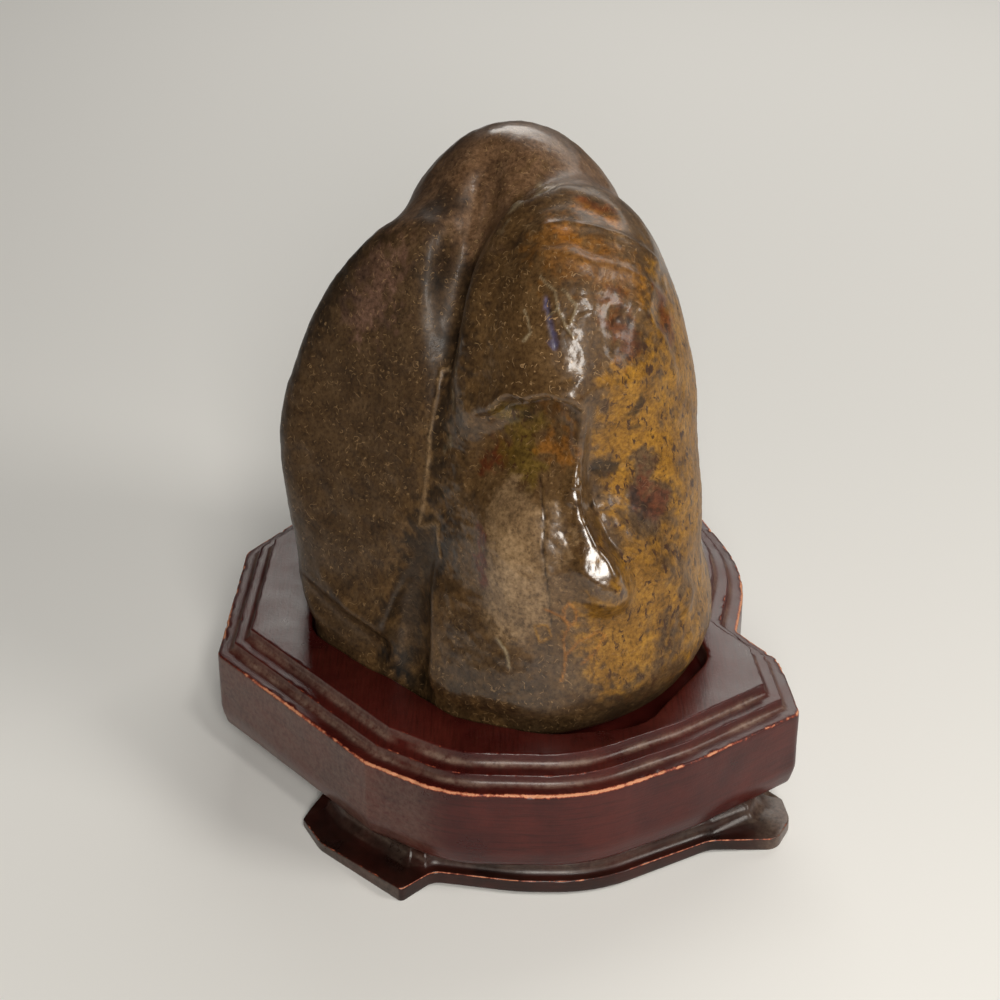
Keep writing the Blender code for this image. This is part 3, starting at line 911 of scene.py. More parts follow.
    # Smaller ones that only the finished skin has.
    relief = (
        Swelling(((22.5, -22, 170), (28, -22.5, 168)), 3.6, -1.6),  # upper amber scoop
        Swelling(((17, -33, 166), (23, -36, 163.5)), 3.2, -1.4),  # lower amber scoop
        Swelling(((10.8, -29, 166.5), (24.9, -29, 166), (35.5, -27.1, 159.5), (40.5, -23, 154)), 1.6, 0.9),
        Swelling(((9, -36, 162), (22, -40, 161), (34, -36, 155), (41, -31, 147)), 2.2, 0.8),
        Swelling(((35, -42.5, 149), (41, -40, 138), (43.5, -38, 128)), 2.2, 1.1),
        Swelling(((30, -48, 148.5),), 3.4, -1.2),
        Swelling(((41, -34, 146),), 4, -1.2),
        Swelling(((29, -51, 142),), 2.6, -0.7),
        Swelling(((-4.3, 2, 167.5), (-6.2, -3, 160.8), (-7.6, -9, 154)), 1.2, 1.3),
        Swelling(((11.1, -8, 169), (4.4, -14, 167.3), (-1, -17, 163)), 1.3, 0.8),
        Swelling(((2.5, -50.5, 126.5), (12, -54.5, 129.5)), 2.2, -1.2),  # lens-shaped pit
        Swelling(((25.1, -60.5, 111.5),), 3, -1.6),
        Swelling(((4.6, -65, 94.5),), 2.6, -0.9),
        Swelling(((36, -55, 105), (39, -54, 97)), 5, -0.8),
        Swelling(((48.6, -57, 64),), 2.4, -1),
        Swelling(((51, -56, 59),), 2.2, -0.9),
        Swelling(((-52, -29, 62.5), (-42, -40.5, 57), (-34.5, -46.5, 55.5)), 1.8, 0.9),
        Swelling(((-28, -46, 70), (-22.5, -45, 86)), 1.6, 0.5),
    )
    # Waves of wear all over the skin: height, width, octaves, seed.
    waves = ((0.30, 11, 3, 1), (0.12, 2.6, 3, 2))
    marks = (
        # Border of the old flake beside the cleft.
        Mark(
            ((-13.3, 126.1), (-16.5, 124.7), (-17.6, 119.1), (-19.2, 113), (-19.8, 103.2)),
            0.4, 0.35, Mineral.MAUVE,
        ),
        Mark(((-19.8, 103.2), (-21.2, 93), (-22.6, 85.8)), 0.4, 0.35, Mineral.MAUVE),
        Mark(((-22.6, 85.8), (-17.4, 88.2), (-17.4, 84.1), (-16.6, 80.2)), 0.4, 0.4, Mineral.MAUVE),
        # Upright crack down the belly.
        Mark(
            ((9.5, 110.3), (10.7, 101.1), (10.2, 93.6), (11.6, 83.6), (12.4, 73.4)),
            0.25, -0.2, Mineral.INK_AND_SHADE,
        ),
        # Leaf-shaped scars low on the front.
        Mark(
            ((17, 80.5), (19.3, 77.5), (18.2, 73.5), (16, 75), (15.6, 78), (17, 80.5)),
            0.3, 0.25, Mineral.AMBER,
        ),
        Mark(
            ((11, 78), (15.2, 76), (17.2, 73), (15.8, 69.5), (16.4, 64), (15.4, 57)),
            0.3, 0.3, Mineral.AMBER,
        ),
        Mark(
            ((16.4, 64), (19.5, 68), (24.6, 70.5), (26.5, 69), (24, 64.5), (20.5, 61.5)),
            0.3, 0.25, Mineral.AMBER,
        ),
        Mark(((8, 72.5), (11.5, 73.5), (12.6, 70), (9.6, 68), (8, 72.5)), 0.3, 0.2, Mineral.OCHRE),
        # Loose scratches.
        Mark(((-1.5, 67), (0.6, 64.5), (1.6, 60.5)), 0.3, 0.25, Mineral.PEARL_AND_SHEEN),
        Mark(((10.8, 153.5), (11.8, 149.5), (13.2, 143.6)), 0.6, -0.35, Mineral.VIOLET),
        Mark(((13.5, 153), (15.5, 149), (18, 146)), 0.3, 0.3, Mineral.PEARL_AND_SHEEN),
        Mark(((9.5, 158), (13, 155.5), (14, 152), (11.5, 150)), 0.25, 0.2, Mineral.PEARL_AND_SHEEN),
        Mark(((15, 156), (18.5, 153), (17, 149.5)), 0.25, 0.2, Mineral.PEARL_AND_SHEEN),
        Mark(((5.5, 150), (7, 146), (5, 143.5)), 0.25, 0.2, Mineral.PEARL_AND_SHEEN),
    )
    # Colour patches: most are the rock's own colours; those marked below are painted shade or painted sheen.
    patches = (
        Patch(Mineral.UMBER, ((-46, -10, 60), (-42, -10, 100), (-28, -6, 140)), 34, 14),
        Patch(Mineral.DUSK, ((2, 14, 172), (-14, 6, 160), (24, 10, 158)), 20, 16),
        Patch(Mineral.BLUSH, ((-33, -10, 144), (-36, -10, 136)), 7, 9, 0.7),
        Patch(Mineral.OCHRE, ((50, -28, 130), (54, -34, 100), (50, -36, 66)), 21, 22),
        Patch(Mineral.OCHRE, ((44, 34, 120), (50, 40, 84), (40, 56, 56)), 9, 20, 0.6),
        Patch(Mineral.OCHRE, ((-20, 62, 140), (-34, 52, 96)), 8, 18, 0.5),
        Patch(Mineral.DUSK, ((6, 70, 130), (4, 84, 80)), 10, 18, 0.7),
        Patch(Mineral.RUST, ((20, 60, 110), (26, 66, 88)), 3, 8, 0.6),
        Patch(Mineral.UMBER, ((-56, 20, 60), (-20, 72, 50), (40, 66, 50)), 8, 16, 0.8),
        Patch(Mineral.OCHRE, ((33, -50, 128), (37, -54, 106)), 11, 7),
        Patch(Mineral.OCHRE, ((34, -62, 84), (30, -72, 60)), 13, 9, 0.8),
        Patch(Mineral.AMBER, ((14, -34, 164), (30, -40, 157)), 8, 9, 0.35),
        Patch(Mineral.AMBER, ((22.5, -22, 170), (28, -23, 168)), 3.8, 2.6),
        Patch(Mineral.AMBER, ((17, -33, 166), (23, -36, 163.5)), 3, 3, 0.8),
        Patch(Mineral.RUST, ((20, -19, 170), (30, -20, 167.5)), 1.6, 2, 0.7),
        Patch(Mineral.RUST, ((30, -48, 150), (31, -50, 141)), 4, 4, 0.6),
        Patch(Mineral.RUST, ((42, -33, 147), (42.5, -34, 141)), 3.6, 3.5, 0.8),
        Patch(Mineral.RUST, ((-2, -51, 120), (-1, -52, 112)), 3.8, 3.5, 0.8),
        Patch(Mineral.MOSS, ((2, -53, 120.5), (6, -55, 111)), 6.5, 4, 0.85),
        Patch(Mineral.AMBER, ((13, -58, 125), (15, -59, 118)), 4.2, 4, 0.6),
        # Mauve face low on the front: partly its own mauve-grey, partly painted sheen.
        Patch(Mineral.MAUVE, ((1.5, -64, 99), (3.5, -69, 84), (0, -70, 75)), 9.5, 4, 1),
        Patch(Mineral.MAUVE, ((14, -64, 104), (15, -68, 92)), 3.8, 3, 0.6),
        Patch(Mineral.RUST, ((-6.2, -60, 93), (-5.2, -63, 80)), 1.6, 2, 0.9),
        Patch(Mineral.UMBER, ((35.5, -54, 108), (39, -54, 102), (36.5, -56, 96)), 5.4, 2.4, 0.95),
        Patch(Mineral.RUST, ((37, -54, 106), (39, -54, 99)), 3.2, 3, 0.7),
        Patch(Mineral.INK_AND_SHADE, ((35, -54, 104), (38.5, -54, 101), (36, -56, 96)), 1.2, 2.4, 0.8),
        # Painted shade: a dark strip along the hollow on the right of the blade's crest.
        Patch(Mineral.UMBER, ((22, -58, 122), (23, -59, 103), (29, -66, 90)), 2, 2.6, 0.7),
        # Painted shade in the lens-shaped pit under the brow.
        Patch(Mineral.INK_AND_SHADE, ((2.5, -50.5, 126), (12, -54, 128.6)), 1, 1.6, 0.65),
        # Painted shade along the underside of the brow's lip.
        Patch(
            Mineral.INK_AND_SHADE,
            ((-3.9, -46.5, 120.2), (2.3, -48.5, 121.5), (10.7, -52.8, 124.6), (18.9, -58.5, 126.5)),
            0.8, 2, 0.7,
        ),
        # Dark spots in the hollow right of the blade's crest, deepened as painted shade.
        Patch(Mineral.INK_AND_SHADE, ((24.5, -56.5, 109.6), (27.5, -55, 111.5)), 2.4, 1.8, 0.85),
        Patch(Mineral.INK_AND_SHADE, ((23, -59.5, 103), (23.6, -60, 101)), 1.3, 1, 0.85),
        Patch(Mineral.INK_AND_SHADE, ((31.5, -46, 149.5),), 1.5, 1.2, 0.9),
        Patch(Mineral.INK_AND_SHADE, ((35.5, -51, 126), (33.5, -52, 121.5)), 1.6, 1.4, 0.75),
        Patch(Mineral.INK_AND_SHADE, ((17.5, -68, 88), (17, -69, 80)), 1.8, 1.8, 0.7),
        Patch(Mineral.INK_AND_SHADE, ((36, -72, 53.5), (38, -71, 55)), 2.2, 2, 0.6),
        Patch(Mineral.VIOLET, ((10.8, -46, 153.5), (11.8, -49.6, 149.5), (13, -53.3, 144)), 1, 0.8, 0.8),
        # Painted sheen on the ridge near the top.
        Patch(Mineral.PEARL_AND_SHEEN, ((4, -15, 167.5), (11, -8, 169)), 2, 2.4, 0.7),
        # Painted sheen along the left edge of the front mass, beside the cleft.
        Patch(
            Mineral.PEARL_AND_SHEEN,
            ((-13.4, -37.8, 121), (-15.4, -42.3, 102.6), (-17.5, -44.8, 91.8)),
            1, 1.2, 0.5,
        ),
        # Painted sheen along the upper left edge of the front mass.
        Patch(
            Mineral.PEARL_AND_SHEEN,
            ((14, -17, 168.5), (2, -19, 160.5), (-5.5, -31, 143), (-11.5, -35, 127)),
            1.1, 1.6, 0.6,
        ),
        # Painted shade down the cleft and at its upper end.
        Patch(Mineral.INK_AND_SHADE, ((-8, -14, 156), (-14, -30, 124), (-17, -42, 95)), 3.2, 4, 0.7),
        Patch(Mineral.INK_AND_SHADE, ((-16, 0, 162.5), (-18.7, -6.2, 160.5), (-18.6, -16, 148)), 4.5, 5, 0.7),
        # Darker towards the bottom of the belly's left: darker brown, with painted shade over it.
        Patch(Mineral.UMBER, ((-9, -65, 66), (-1, -72, 61.5), (4.5, -75, 54)), 4.5, 6, 0.9),
        Patch(Mineral.INK_AND_SHADE, ((-9, -66, 62), (2, -74, 56)), 3.5, 6, 0.55),
        Patch(Mineral.UMBER, ((14, -73.5, 64), (20.5, -74.5, 57), (26, -73, 50)), 4, 6, 0.9),
        # Painted shade low in the vale, near the stand's hollow.
        Patch(Mineral.INK_AND_SHADE, ((-32, -46, 45.5), (-27, -47.5, 42.5), (-21, -51, 41)), 3, 5, 0.9),
        # Painted shade in the vale between the leaf and the belly.
        Patch(Mineral.INK_AND_SHADE, ((-19.5, -46, 84), (-25, -46, 68), (-29, -50, 48)), 7, 6, 0.7),
        # Painted shade down the front mass's left flank.
        Patch(
            Mineral.INK_AND_SHADE,
            ((-8, -36, 138), (-10.5, -40, 118), (-11.5, -46, 100), (-14, -55, 72)),
            3, 8, 0.5,
        ),
        # Darker brown and painted shade along the bottom of the front, where it turns in towards the stand.
        Patch(Mineral.UMBER, ((-8, -68, 60), (8, -74, 48), (34, -68, 40)), 11, 12, 0.9),
        Patch(Mineral.INK_AND_SHADE, ((-10, -66, 46), (10, -74, 42), (36, -66, 38)), 8, 12, 0.45),
        # Painted shade on the upper left of the wing.
        Patch(Mineral.INK_AND_SHADE, ((-56, -2, 124), (-40, 0, 146)), 7, 9, 0.55),
    )

    # Where the gloss, the flecks and the scratches change, and how far each place reaches.
    zones = {
        "moss": (((2, -53, 120), (6, -55, 111)), 7),
        "brow": (((6, -46, 152), (10, -55, 140)), 16),
        "belly": (((2, -64, 99), (4, -68, 84), (0, -67, 74)), 13),
        "bank": (((-12, -4, 160), (-17, -24, 137), (-18, -33, 118)), 9),
        "vale": (((-20, -46, 84), (-27, -48, 50)), 10),
        "blade": (((18.6, -65.7, 108), (21.2, -69.7, 98.7), (26, -75, 87)), 7),
    }

    def skin(self, p: Array) -> Array:
        """Distance to the rock's surface, negative inside, without its fine relief.

        Args:
            p: Points, one in each row.

        Returns:
            One distance for each point.
        """
        body = join(lobe(p, *self.peak), lobe(p, *self.back), self.back_blend)
        body = join(body, lobe(p, *self.wing, self.wing_lean), self.wing_blend)
        body = join(body, lobe(p, *self.heel), self.heel_blend)
        for point, normal, edge in self.flat_sides:
            way = np.array(normal) / np.linalg.norm(normal)
            body = cut(body, (p - np.array(point)) @ way, edge)
        body = cut(body, -rods(p, self.cleft), self.cleft_edge)
        body = cut(body, -rods(p, self.vale), self.vale_edge)
        front = join(lobe(p, *self.brow), lobe(p, *self.belly), self.belly_blend)
        front = join(front, lobe(p, *self.toe), self.toe_blend)
        front = join(front, rods(p, self.front_rim), self.rim_blend)
        front = front + self.brow_edge.depth(p) + self.blade_edge.depth(p)
        body = join(body, front, np.interp(p[:, 2], self.crease_heights, self.crease_blends))
        grooves = (
            (self.saddle, 3.0),
            (self.undercut, 1.5),
            (self.back_valley, 14.0),
            (self.flank_valley, 12.0),
        )
        for groove, edge in grooves:
            body = cut(body, -rods(p, groove), edge)
        for form in self.forms:
            body = body - form.height * swell(trace_distance(p, form.path), form.width)
        facet = (p - np.array(self.facet_point)) @ np.array(self.facet_way)
        body = cut(body, facet - np.maximum(p[:, 2] - self.facet_top, 0.0), self.facet_edge)
        body = cut(body, self.room(p), self.shoe_edge)
        return cut(body, self.floor - p[:, 2], self.floor_edge)

    def room(self, p: Array) -> Array:
        """Distance beyond the room that the stand's hollow leaves, which flares above its mouth.

        Args:
            p: Points, one in each row.

        Returns:
            One distance for each point.
        """
        corners = offset_corners(RECESS_OUTLINE, self.clearance)
        outline = rounded(corners, step_counts(RECESS_OUTLINE, 4.0))
        room = np.full(len(p), -self.shoe_top)
        low = p[:, 2] < self.shoe_top
        room[low] = outline_distance(p[low], outline)
        share = np.clip(0.5 + p[:, 0] / self.flare_spread, 0.0, 1.0)
        flare = self.flare_left + (self.flare_right - self.flare_left) * share
        return room - flare * np.maximum(p[:, 2] - self.flare_from, 0.0)

    def slope(self, p: Array, step: float = 0.2) -> Array:
        """Direction in which the distance grows fastest.

        Args:
            p: Points, one in each row.
            step: How far apart the distance is read.

        Returns:
            One gradient for each point.
        """
        grad = np.empty_like(p)
        for axis in range(3):
            nudge = np.zeros(3)
            nudge[axis] = step
            grad[:, axis] = (self.skin(p + nudge) - self.skin(p - nudge)) / (2.0 * step)
        return grad

    def settle(self, p: Array, rounds: int = 1) -> Array:
        """Slide points along the slope onto the surface.

        Args:
            p: Points, one in each row.
            rounds: How often they slide.

        Returns:
            The points, now on the surface.
        """
        for _ in range(rounds):
            grad = self.slope(p)
            size = np.maximum(np.einsum("ij,ij->i", grad, grad), 0.25)
            p = p - (np.clip(self.skin(p), -2.0, 2.0) / size)[:, None] * grad
        return p

    def first_skin(self) -> bmesh.types.BMesh:
        """A cube of small squares, blown out from the core onto the surface and evened out.

        Returns:
            The closed skin in millimetres.
        """
        bm = bmesh.new()
        bmesh.ops.create_cube(bm, size=2.0)
        bmesh.ops.subdivide_edges(bm, edges=bm.edges, cuts=self.first_cuts, use_grid_fill=True)
        rays = np.tan(vertex_array(bm) * math.pi / 4.0)
        rays /= np.linalg.norm(rays, axis=1)[:, None]
        reach = np.zeros(len(rays))
        for _ in range(self.blow_rounds):
            room = -self.skin(np.array(self.core) + rays * reach[:, None])
            reach += self.blow_share * np.clip(room, -1.0, 20.0)
        move_vertices(bm, np.array(self.core) + rays * reach[:, None])
        for _ in range(self.evening_rounds):
            self.even_out(bm)
        return bm

    def even_out(self, bm: bmesh.types.BMesh) -> None:
        """One round of smoothing that ends on the surface again.

        Args:
            bm: The skin.
        """
        bmesh.ops.smooth_vert(
            bm, verts=bm.verts, factor=0.5, use_axis_x=True, use_axis_y=True, use_axis_z=True
        )
        move_vertices(bm, self.settle(vertex_array(bm)))

    def refine(self, bm: bmesh.types.BMesh, wanted: Callable[[Array], Array]) -> None:
        """Halve the squares wherever the test on their edges' middles says so.

        Args:
            bm: The skin.
            wanted: Test on points that says where.
        """
        middles = np.array([(edge.verts[0].co + edge.verts[1].co)[:] for edge in bm.edges]) / 2.0
        edges = [edge for edge, yes in zip(bm.edges, wanted(middles)) if yes]
        bmesh.ops.subdivide_edges(bm, edges=edges, cuts=1, use_grid_fill=True)
        for _ in range(2):
            self.even_out(bm)

    def in_view(self, p: Array) -> Array:
        """True on the front half of the rock and on its crown."""
        return (p[:, 1] < self.fine_front) & (p[:, 2] > self.fine_low) | (p[:, 2] > self.fine_crown)

    def in_front(self, p: Array) -> Array:
        """True on the front mass, where the finest forms are."""
        middle = np.abs(p[:, 0] - self.finest_middle) < self.finest_half_width
        return (p[:, 1] < self.finest_front) & middle & (p[:, 2] > self.finest_low)

    def elevation(self, p: Array) -> Array:
        """Each point's place on the front elevation, unsteady as if drawn by hand."""
        shake = [grain_noise(p, self.shake_size, 2, seed) for seed in (3.0, 4.0)]
        return p[:, (0, 2)] + self.shake * np.column_stack(shake)

    def carve(self, p: Array, out: Array) -> Array:
        """Height of the fine relief at each point.

        Args:
            p: Points on the surface.
            out: Their outward directions.

        Returns:
            How far each point moves out.
        """
        height = sum(high * grain_noise(p, *wave) for high, *wave in self.waves)
        facing = ease(-out[:, 1], 0.1, 0.35)
        for form in self.relief:
            height += form.height * swell(trace_distance(p, form.path), form.width)
        flat = self.elevation(p)
        for mark in self.marks:
            height += mark.height * swell(trace_distance(flat, mark.course), mark.width) * facing
        return height * ease(p[:, 2], self.floor + 4.0, self.detail_floor)

    def colour(self, p: Array, out: Array) -> Array:
        """Colour at each point, the rock's own with painted shade and painted sheen laid in, one linear red,
        green, blue and 1 in each row.

        Args:
            p: Points on the surface.
            out: Their outward directions.

        Returns:
            One colour for each point.
        """
        drift = [grain_noise(p, self.drift_size, 3, seed) for seed in (5.0, 6.0, 7.0)]
        spots = p + self.drift * np.column_stack(drift)
        fray = self.fray * grain_noise(p, self.fray_size, 3, 8.0)
        tint = np.tile(linear(Mineral.BROWN.value), (len(p), 1))
        for patch in self.patches:
            reach = trace_distance(spots, patch.path) - patch.reach + patch.edge * fray
            share = patch.strength * (1.0 - ease(reach, -0.5 * patch.edge, 0.5 * patch.edge))
            tint += share[:, None] * (np.array(linear(patch.mineral_and_painted_light.value)) - tint)
        flat = self.elevation(p)
        facing = ease(-out[:, 1], 0.1, 0.35)
        for mark in self.marks:
            if mark.mineral_and_painted_light:
                share = self.mark_tint * swell(trace_distance(flat, mark.course), mark.width) * facing
                tint += share[:, None] * (np.array(linear(mark.mineral_and_painted_light.value)) - tint)
        return tint

    def build(self, material: bpy.types.Material) -> bpy.types.Object:
        """Make the rock with its colour, fleck, hair and polish attributes.

        Args:
            material: Its finish.

        Returns:
            The piece.
        """
        bm = self.first_skin()
        self.refine(bm, lambda p: np.ones(len(p), bool))
        LOG.info("rock: %d vertices before refining", len(bm.verts))
        self.refine(bm, self.in_view)
        self.refine(bm, self.in_front)
        p = vertex_array(bm)
        out = self.slope(p)
        out /= np.linalg.norm(out, axis=1)[:, None]
        p = p + self.carve(p, out)[:, None] * out
        move_vertices(bm, p)
        LOG.info("rock: %d triangles", sum(len(face.verts) - 2 for face in bm.faces))
        tint = self.colour(p, out)
        piece = finish_piece(self.name, bm, material)
        # this colour attribute holds painted shade and painted sheen as well as the rock's own colours
        shade = piece.data.attributes.new("mineral_and_painted_light", "FLOAT_COLOR", "POINT")
        shade.data.foreach_set("color", tint.astype(np.float32).ravel())
        for name, values in self.finish_layers(p).items():
            layer = piece.data.attributes.new(name, "FLOAT", "POINT")
            layer.data.foreach_set("value", np.clip(values, 0.0, 1.0).astype(np.float32))
        return piece

    def finish_layers(self, p: Array) -> dict[str, Array]:
        """How far each point of the skin is flecked, scratched and polished.

        Args:
            p: Points, one in each row.

        Returns:
            Each attribute's name with one value for each point.
        """
        near = {name: swell(trace_distance(p, path), reach) for name, (path, reach) in self.zones.items()}
        right = ease(p[:, 0], 14.0, 32.0) * ease(-p[:, 1], 0.0, 20.0) * ease(-p[:, 2], -158.0, -140.0)
        crown = ease(p[:, 2], 148.0, 162.0) * ease(p[:, 0], 4.0, 16.0)
        leaf = ease(-p[:, 0], 12.0, 22.0)
        hairs = 0.5 * near["brow"] - 0.35 * near["belly"] - 0.25 * right - 0.4 * near["vale"]
        shy = 0.5 * right * (1.0 - near["blade"]) + 0.5 * leaf + 0.5 * crown + 0.55 * near["bank"]
        polish = 0.6 + 0.4 * near["blade"] - 0.1 * near["belly"] - shy
        return {
            "flecks": 0.1 + 0.9 * right + near["moss"],
            "hairs": 0.45 + hairs,
            "polish": np.maximum(polish, self.least_polish),
        }


# ---------------------------------------------------------------- the stand
@dataclass
class StandBlock:
    """The stepped upper block, turned up by hand: wall, two hollowed steps, top and recess."""

    name: str = "block"
    spacing: float = 1.1  # along the outline
    fine: float = 0.3  # along the section
    floor_rings: int = 6
    top_rings: int = 14
    lip: float = 0.8
    chip: float = 0.55  # depth of the chips along the wall's upper edge
    waver: float = 0.12

    outline: Outline = (
        (81.6, -57.2, 2.5),
        (78.8, -31.0, 9.0),
        (68.0, -15.2, 2.0),
        (74.5, 17.0, 70.0),
        (57.0, 71.0, 20.0),
        (22.0, 95.5, 34.0),
        (-20.0, 95.5, 24.0),
        (-47.0, 76.0, 6.0),
        (-79.0, 29.8, 3.0),
        (-81.6, -27.8, 3.0),
        (-36.7, -80.3, 3.0),
        (-15.0, -94.4, 35.0),
        (22.0, -95.8, 45.0),
        (52.0, -79.3, 60.0),
    )
    # Inset from the outline, height, corner radius.
    section: Outline = (
        (8.0, BASE_TOP + FIT_GAP, 0.0),
        (4.6, 9.2, 3.0),
        (1.6, 11.0, 4.0),
        (0.0, 16.5, 14.0),
        (0.0, 35.0, 0.7),
        (4.35, 35.1, 1.9),
        (4.75, 38.05, 0.45),
        (8.95, 38.1, 2.1),
        (9.35, 41.6, 0.5),
        (10.6, 41.6, 0.0),
    )

    # Corners of the section that are rubbed, and hollows that hold dust with a painted dull highlight:
    # place, width, strength.
    rubbed = (((0.15, 34.85), 0.75, 0.66), ((4.85, 37.95), 0.4, 0.30), ((9.45, 41.5), 0.45, 0.26))
    dusty_sheen = (((3.9, 35.6), 0.9, 0.6), ((8.5, 38.7), 0.9, 0.6))
    lip_wear = (0.1, 0.22, 0.28, 0.2, 0.1)  # on the first rings of the recess

    def near(self, path: Array, spots: tuple[tuple[tuple[float, float], float, float], ...]) -> Array:
        """How strongly each point of the section takes part in the spots near it."""
        return sum(strength * swell(trace_distance(path, (spot,)), width) for spot, width, strength in spots)

    def rings(self) -> tuple[list[Array], Array, Array]:
        """Rings from the underside up and into the recess, with each ring's wear and dust.

        Returns:
            The rings, the wear on each ring and the dust with its painted highlight on each ring.
        """
        counts = step_counts(self.outline, self.spacing)
        path = rounded_section(self.section, self.fine)
        rings = []
        for inset, height in path:
            flat = rounded(offset_corners(self.outline, inset), counts)
            rings.append(np.column_stack([flat, np.full(len(flat), height)]))
        under = [np.column_stack([rings[0][:, :2] * share, rings[0][:, 2]]) for share in (0.1, 0.55)]
        edge, mouth = rings[-1], self.mouth(rings[-1])
        shares = np.linspace(0.0, 1.0, self.top_rings + 1)[1:-1]
        top = [edge + share * (mouth - edge) for share in shares]
        hollow = self.hollow(mouth)
        wear, dust_and_sheen = np.zeros((2, len(under + rings + top + hollow)))
        section = slice(len(under), len(under) + len(path))
        wear[section] = self.near(path, self.rubbed)
        dust_and_sheen[section] = self.near(path, self.dusty_sheen)
        lip = len(under + rings + top)
        wear[lip : lip + len(self.lip_wear)] = self.lip_wear
        return under + rings + top + hollow, wear, dust_and_sheen

    def mouth(self, ring: Array) -> Array:
        """The recess's mouth, with one point straight inwards of each point of a ring.

        Args:
            ring: Points of the ring.

        Returns:
            The mouth's points.
        """
        dense = rounded(RECESS_OUTLINE, step_counts(RECESS_OUTLINE, 0.5))
        bearing = np.arctan2(dense[:, 1], dense[:, 0])
        order = np.argsort(bearing)
        reach = np.interp(
            np.arctan2(ring[:, 1], ring[:, 0]),
            bearing[order],
            np.linalg.norm(dense, axis=1)[order],
            period=2.0 * math.pi,
        )
        way = ring[:, :2] / np.linalg.norm(ring[:, :2], axis=1)[:, None]
        return np.column_stack([way * reach[:, None], np.full(len(ring), PLATEAU)])

    def hollow(self, mouth: Array) -> list[Array]:
        """Rings from the recess's mouth over its rounded lip, down its wall and over its floor.

        Args:
            mouth: Points of the mouth.

        Returns:
            The rings, from the mouth to the middle of the floor.
        """
        way = mouth[:, :2] / np.linalg.norm(mouth[:, :2], axis=1)[:, None]
        steps = [(0.0, 0.0)]
        for angle in np.linspace(0.2, 1.0, 5) * math.pi / 2.0:
            steps.append((self.lip * math.sin(angle), self.lip * (1.0 - math.cos(angle))))
        depth = PLATEAU - RECESS_FLOOR
        steps += [(self.lip, drop) for drop in np.linspace(self.lip, depth - 0.8, 8)[1:]]
        steps += [(self.lip + 0.25, depth - 0.25), (self.lip + 0.9, depth)]
        rings = []
        for inwards, drop in steps:
            flat = mouth[:, :2] - inwards * way
            rings.append(np.column_stack([flat, np.full(len(flat), PLATEAU - drop)]))
        floor = rings[-2][:, :2]
        for share in np.linspace(1.0, 0.08, self.floor_rings + 1)[1:]:
            rings.append(np.column_stack([floor * share, np.full(len(mouth), RECESS_FLOOR)]))
        return rings

    def build(self, material: bpy.types.Material) -> bpy.types.Object:
        """Make the block, with hand-cut unevenness, chipped edges, and hollows with dust and a painted
        highlight.

        Args:
            material: Its finish.

        Returns:
            The piece.
        """
        rings, wear, dust_and_sheen = self.rings()
        ones = np.ones(len(rings[0]))
        bm = closed_band(rings, {"wear": np.outer(wear, ones), "dust_and_sheen": np.outer(dust_and_sheen, ones)})
        HandWork(self.chip, self.waver).leave_on(bm)
        return finish_piece(self.name, bm, material)


@dataclass(frozen=True)
class HandWork:
    """What carving by hand and long use leave on a shape: it wavers, and its edges are chipped."""

    chip: float  # depth of the deepest chips
    waver: float  # height of the slow unevenness
    waver_size: float = 14.0
    rubbed_size: float = 30.0
    chip_size: float = 3.2
    dust_size: float = 9.0
    ground: tuple[float, float] = (0.5, 3.0)  # heights between which the unevenness sets in
    painted_sheen: float = 0.2  # painted sheen, in the dust colour, on the walls that face left and on the right foot
    # where the painted highlight on the right foot lies, and how much stronger than the wall sheen it is
    right_foot: tuple[float, float] = (66.0, 78.0)
    foot_top: tuple[float, float] = (8.4, 9.0)
    foot_painted_highlight: float = 1.6

    def leave_on(self, bm: bmesh.types.BMesh) -> None:
        """Work a shape over.

        Args:
            bm: The shape, with wear and dust on its vertices; the dust also carries painted sheen.
        """
        bm.normal_update()
        wear_layer, dust_layer = (bm.verts.layers.float[name] for name in ("wear", "dust_and_sheen"))
        p = vertex_array(bm)
        out = np.array([vert.normal[:] for vert in bm.verts])
        wear = np.array([vert[wear_layer] for vert in bm.verts])
        dust_and_sheen = np.array([vert[dust_layer] for vert in bm.verts])
        edge = wear > 0.05
        rubbed = ease(grain_noise(p[edge], self.rubbed_size, 2, 11.0), -0.35, 0.45)
        chipped = ease(grain_noise(p[edge], self.chip_size, 3, 12.0), 0.12, 0.5)
        worn = np.zeros(len(p))
        worn[edge] = wear[edge] * (0.55 + 0.6 * rubbed + 0.7 * chipped)
        height = self.waver * grain_noise(p, self.waver_size, 2, 13.0)
        height[edge] -= self.chip * chipped * np.clip(wear[edge] * 2.0, 0.0, 1.0) * (0.3 + 0.7 * rubbed)
        p = p + (height * ease(p[:, 2], *self.ground))[:, None] * out
        move_vertices(bm, p)
        dust_and_sheen *= 0.55 + 0.7 * grain_noise(p, self.dust_size, 2, 14.0)
        # Painted sheen: walls that face left are made paler for their reflection, and the right foot for its
        # highlight.
        wall = ease(-out[:, 0], 0.25, 0.7) * (1.0 - ease(out[:, 2], 0.3, 0.6))
        foot = ease(p[:, 0], *self.right_foot) * (1.0 - ease(p[:, 2], *self.foot_top))
        dust_and_sheen += self.painted_sheen * np.maximum(wall, self.foot_painted_highlight * foot)
        for vert, wear_here, dust_here in zip(bm.verts, worn.tolist(), dust_and_sheen.tolist()):
            vert[wear_layer] = wear_here
            vert[dust_layer] = dust_here


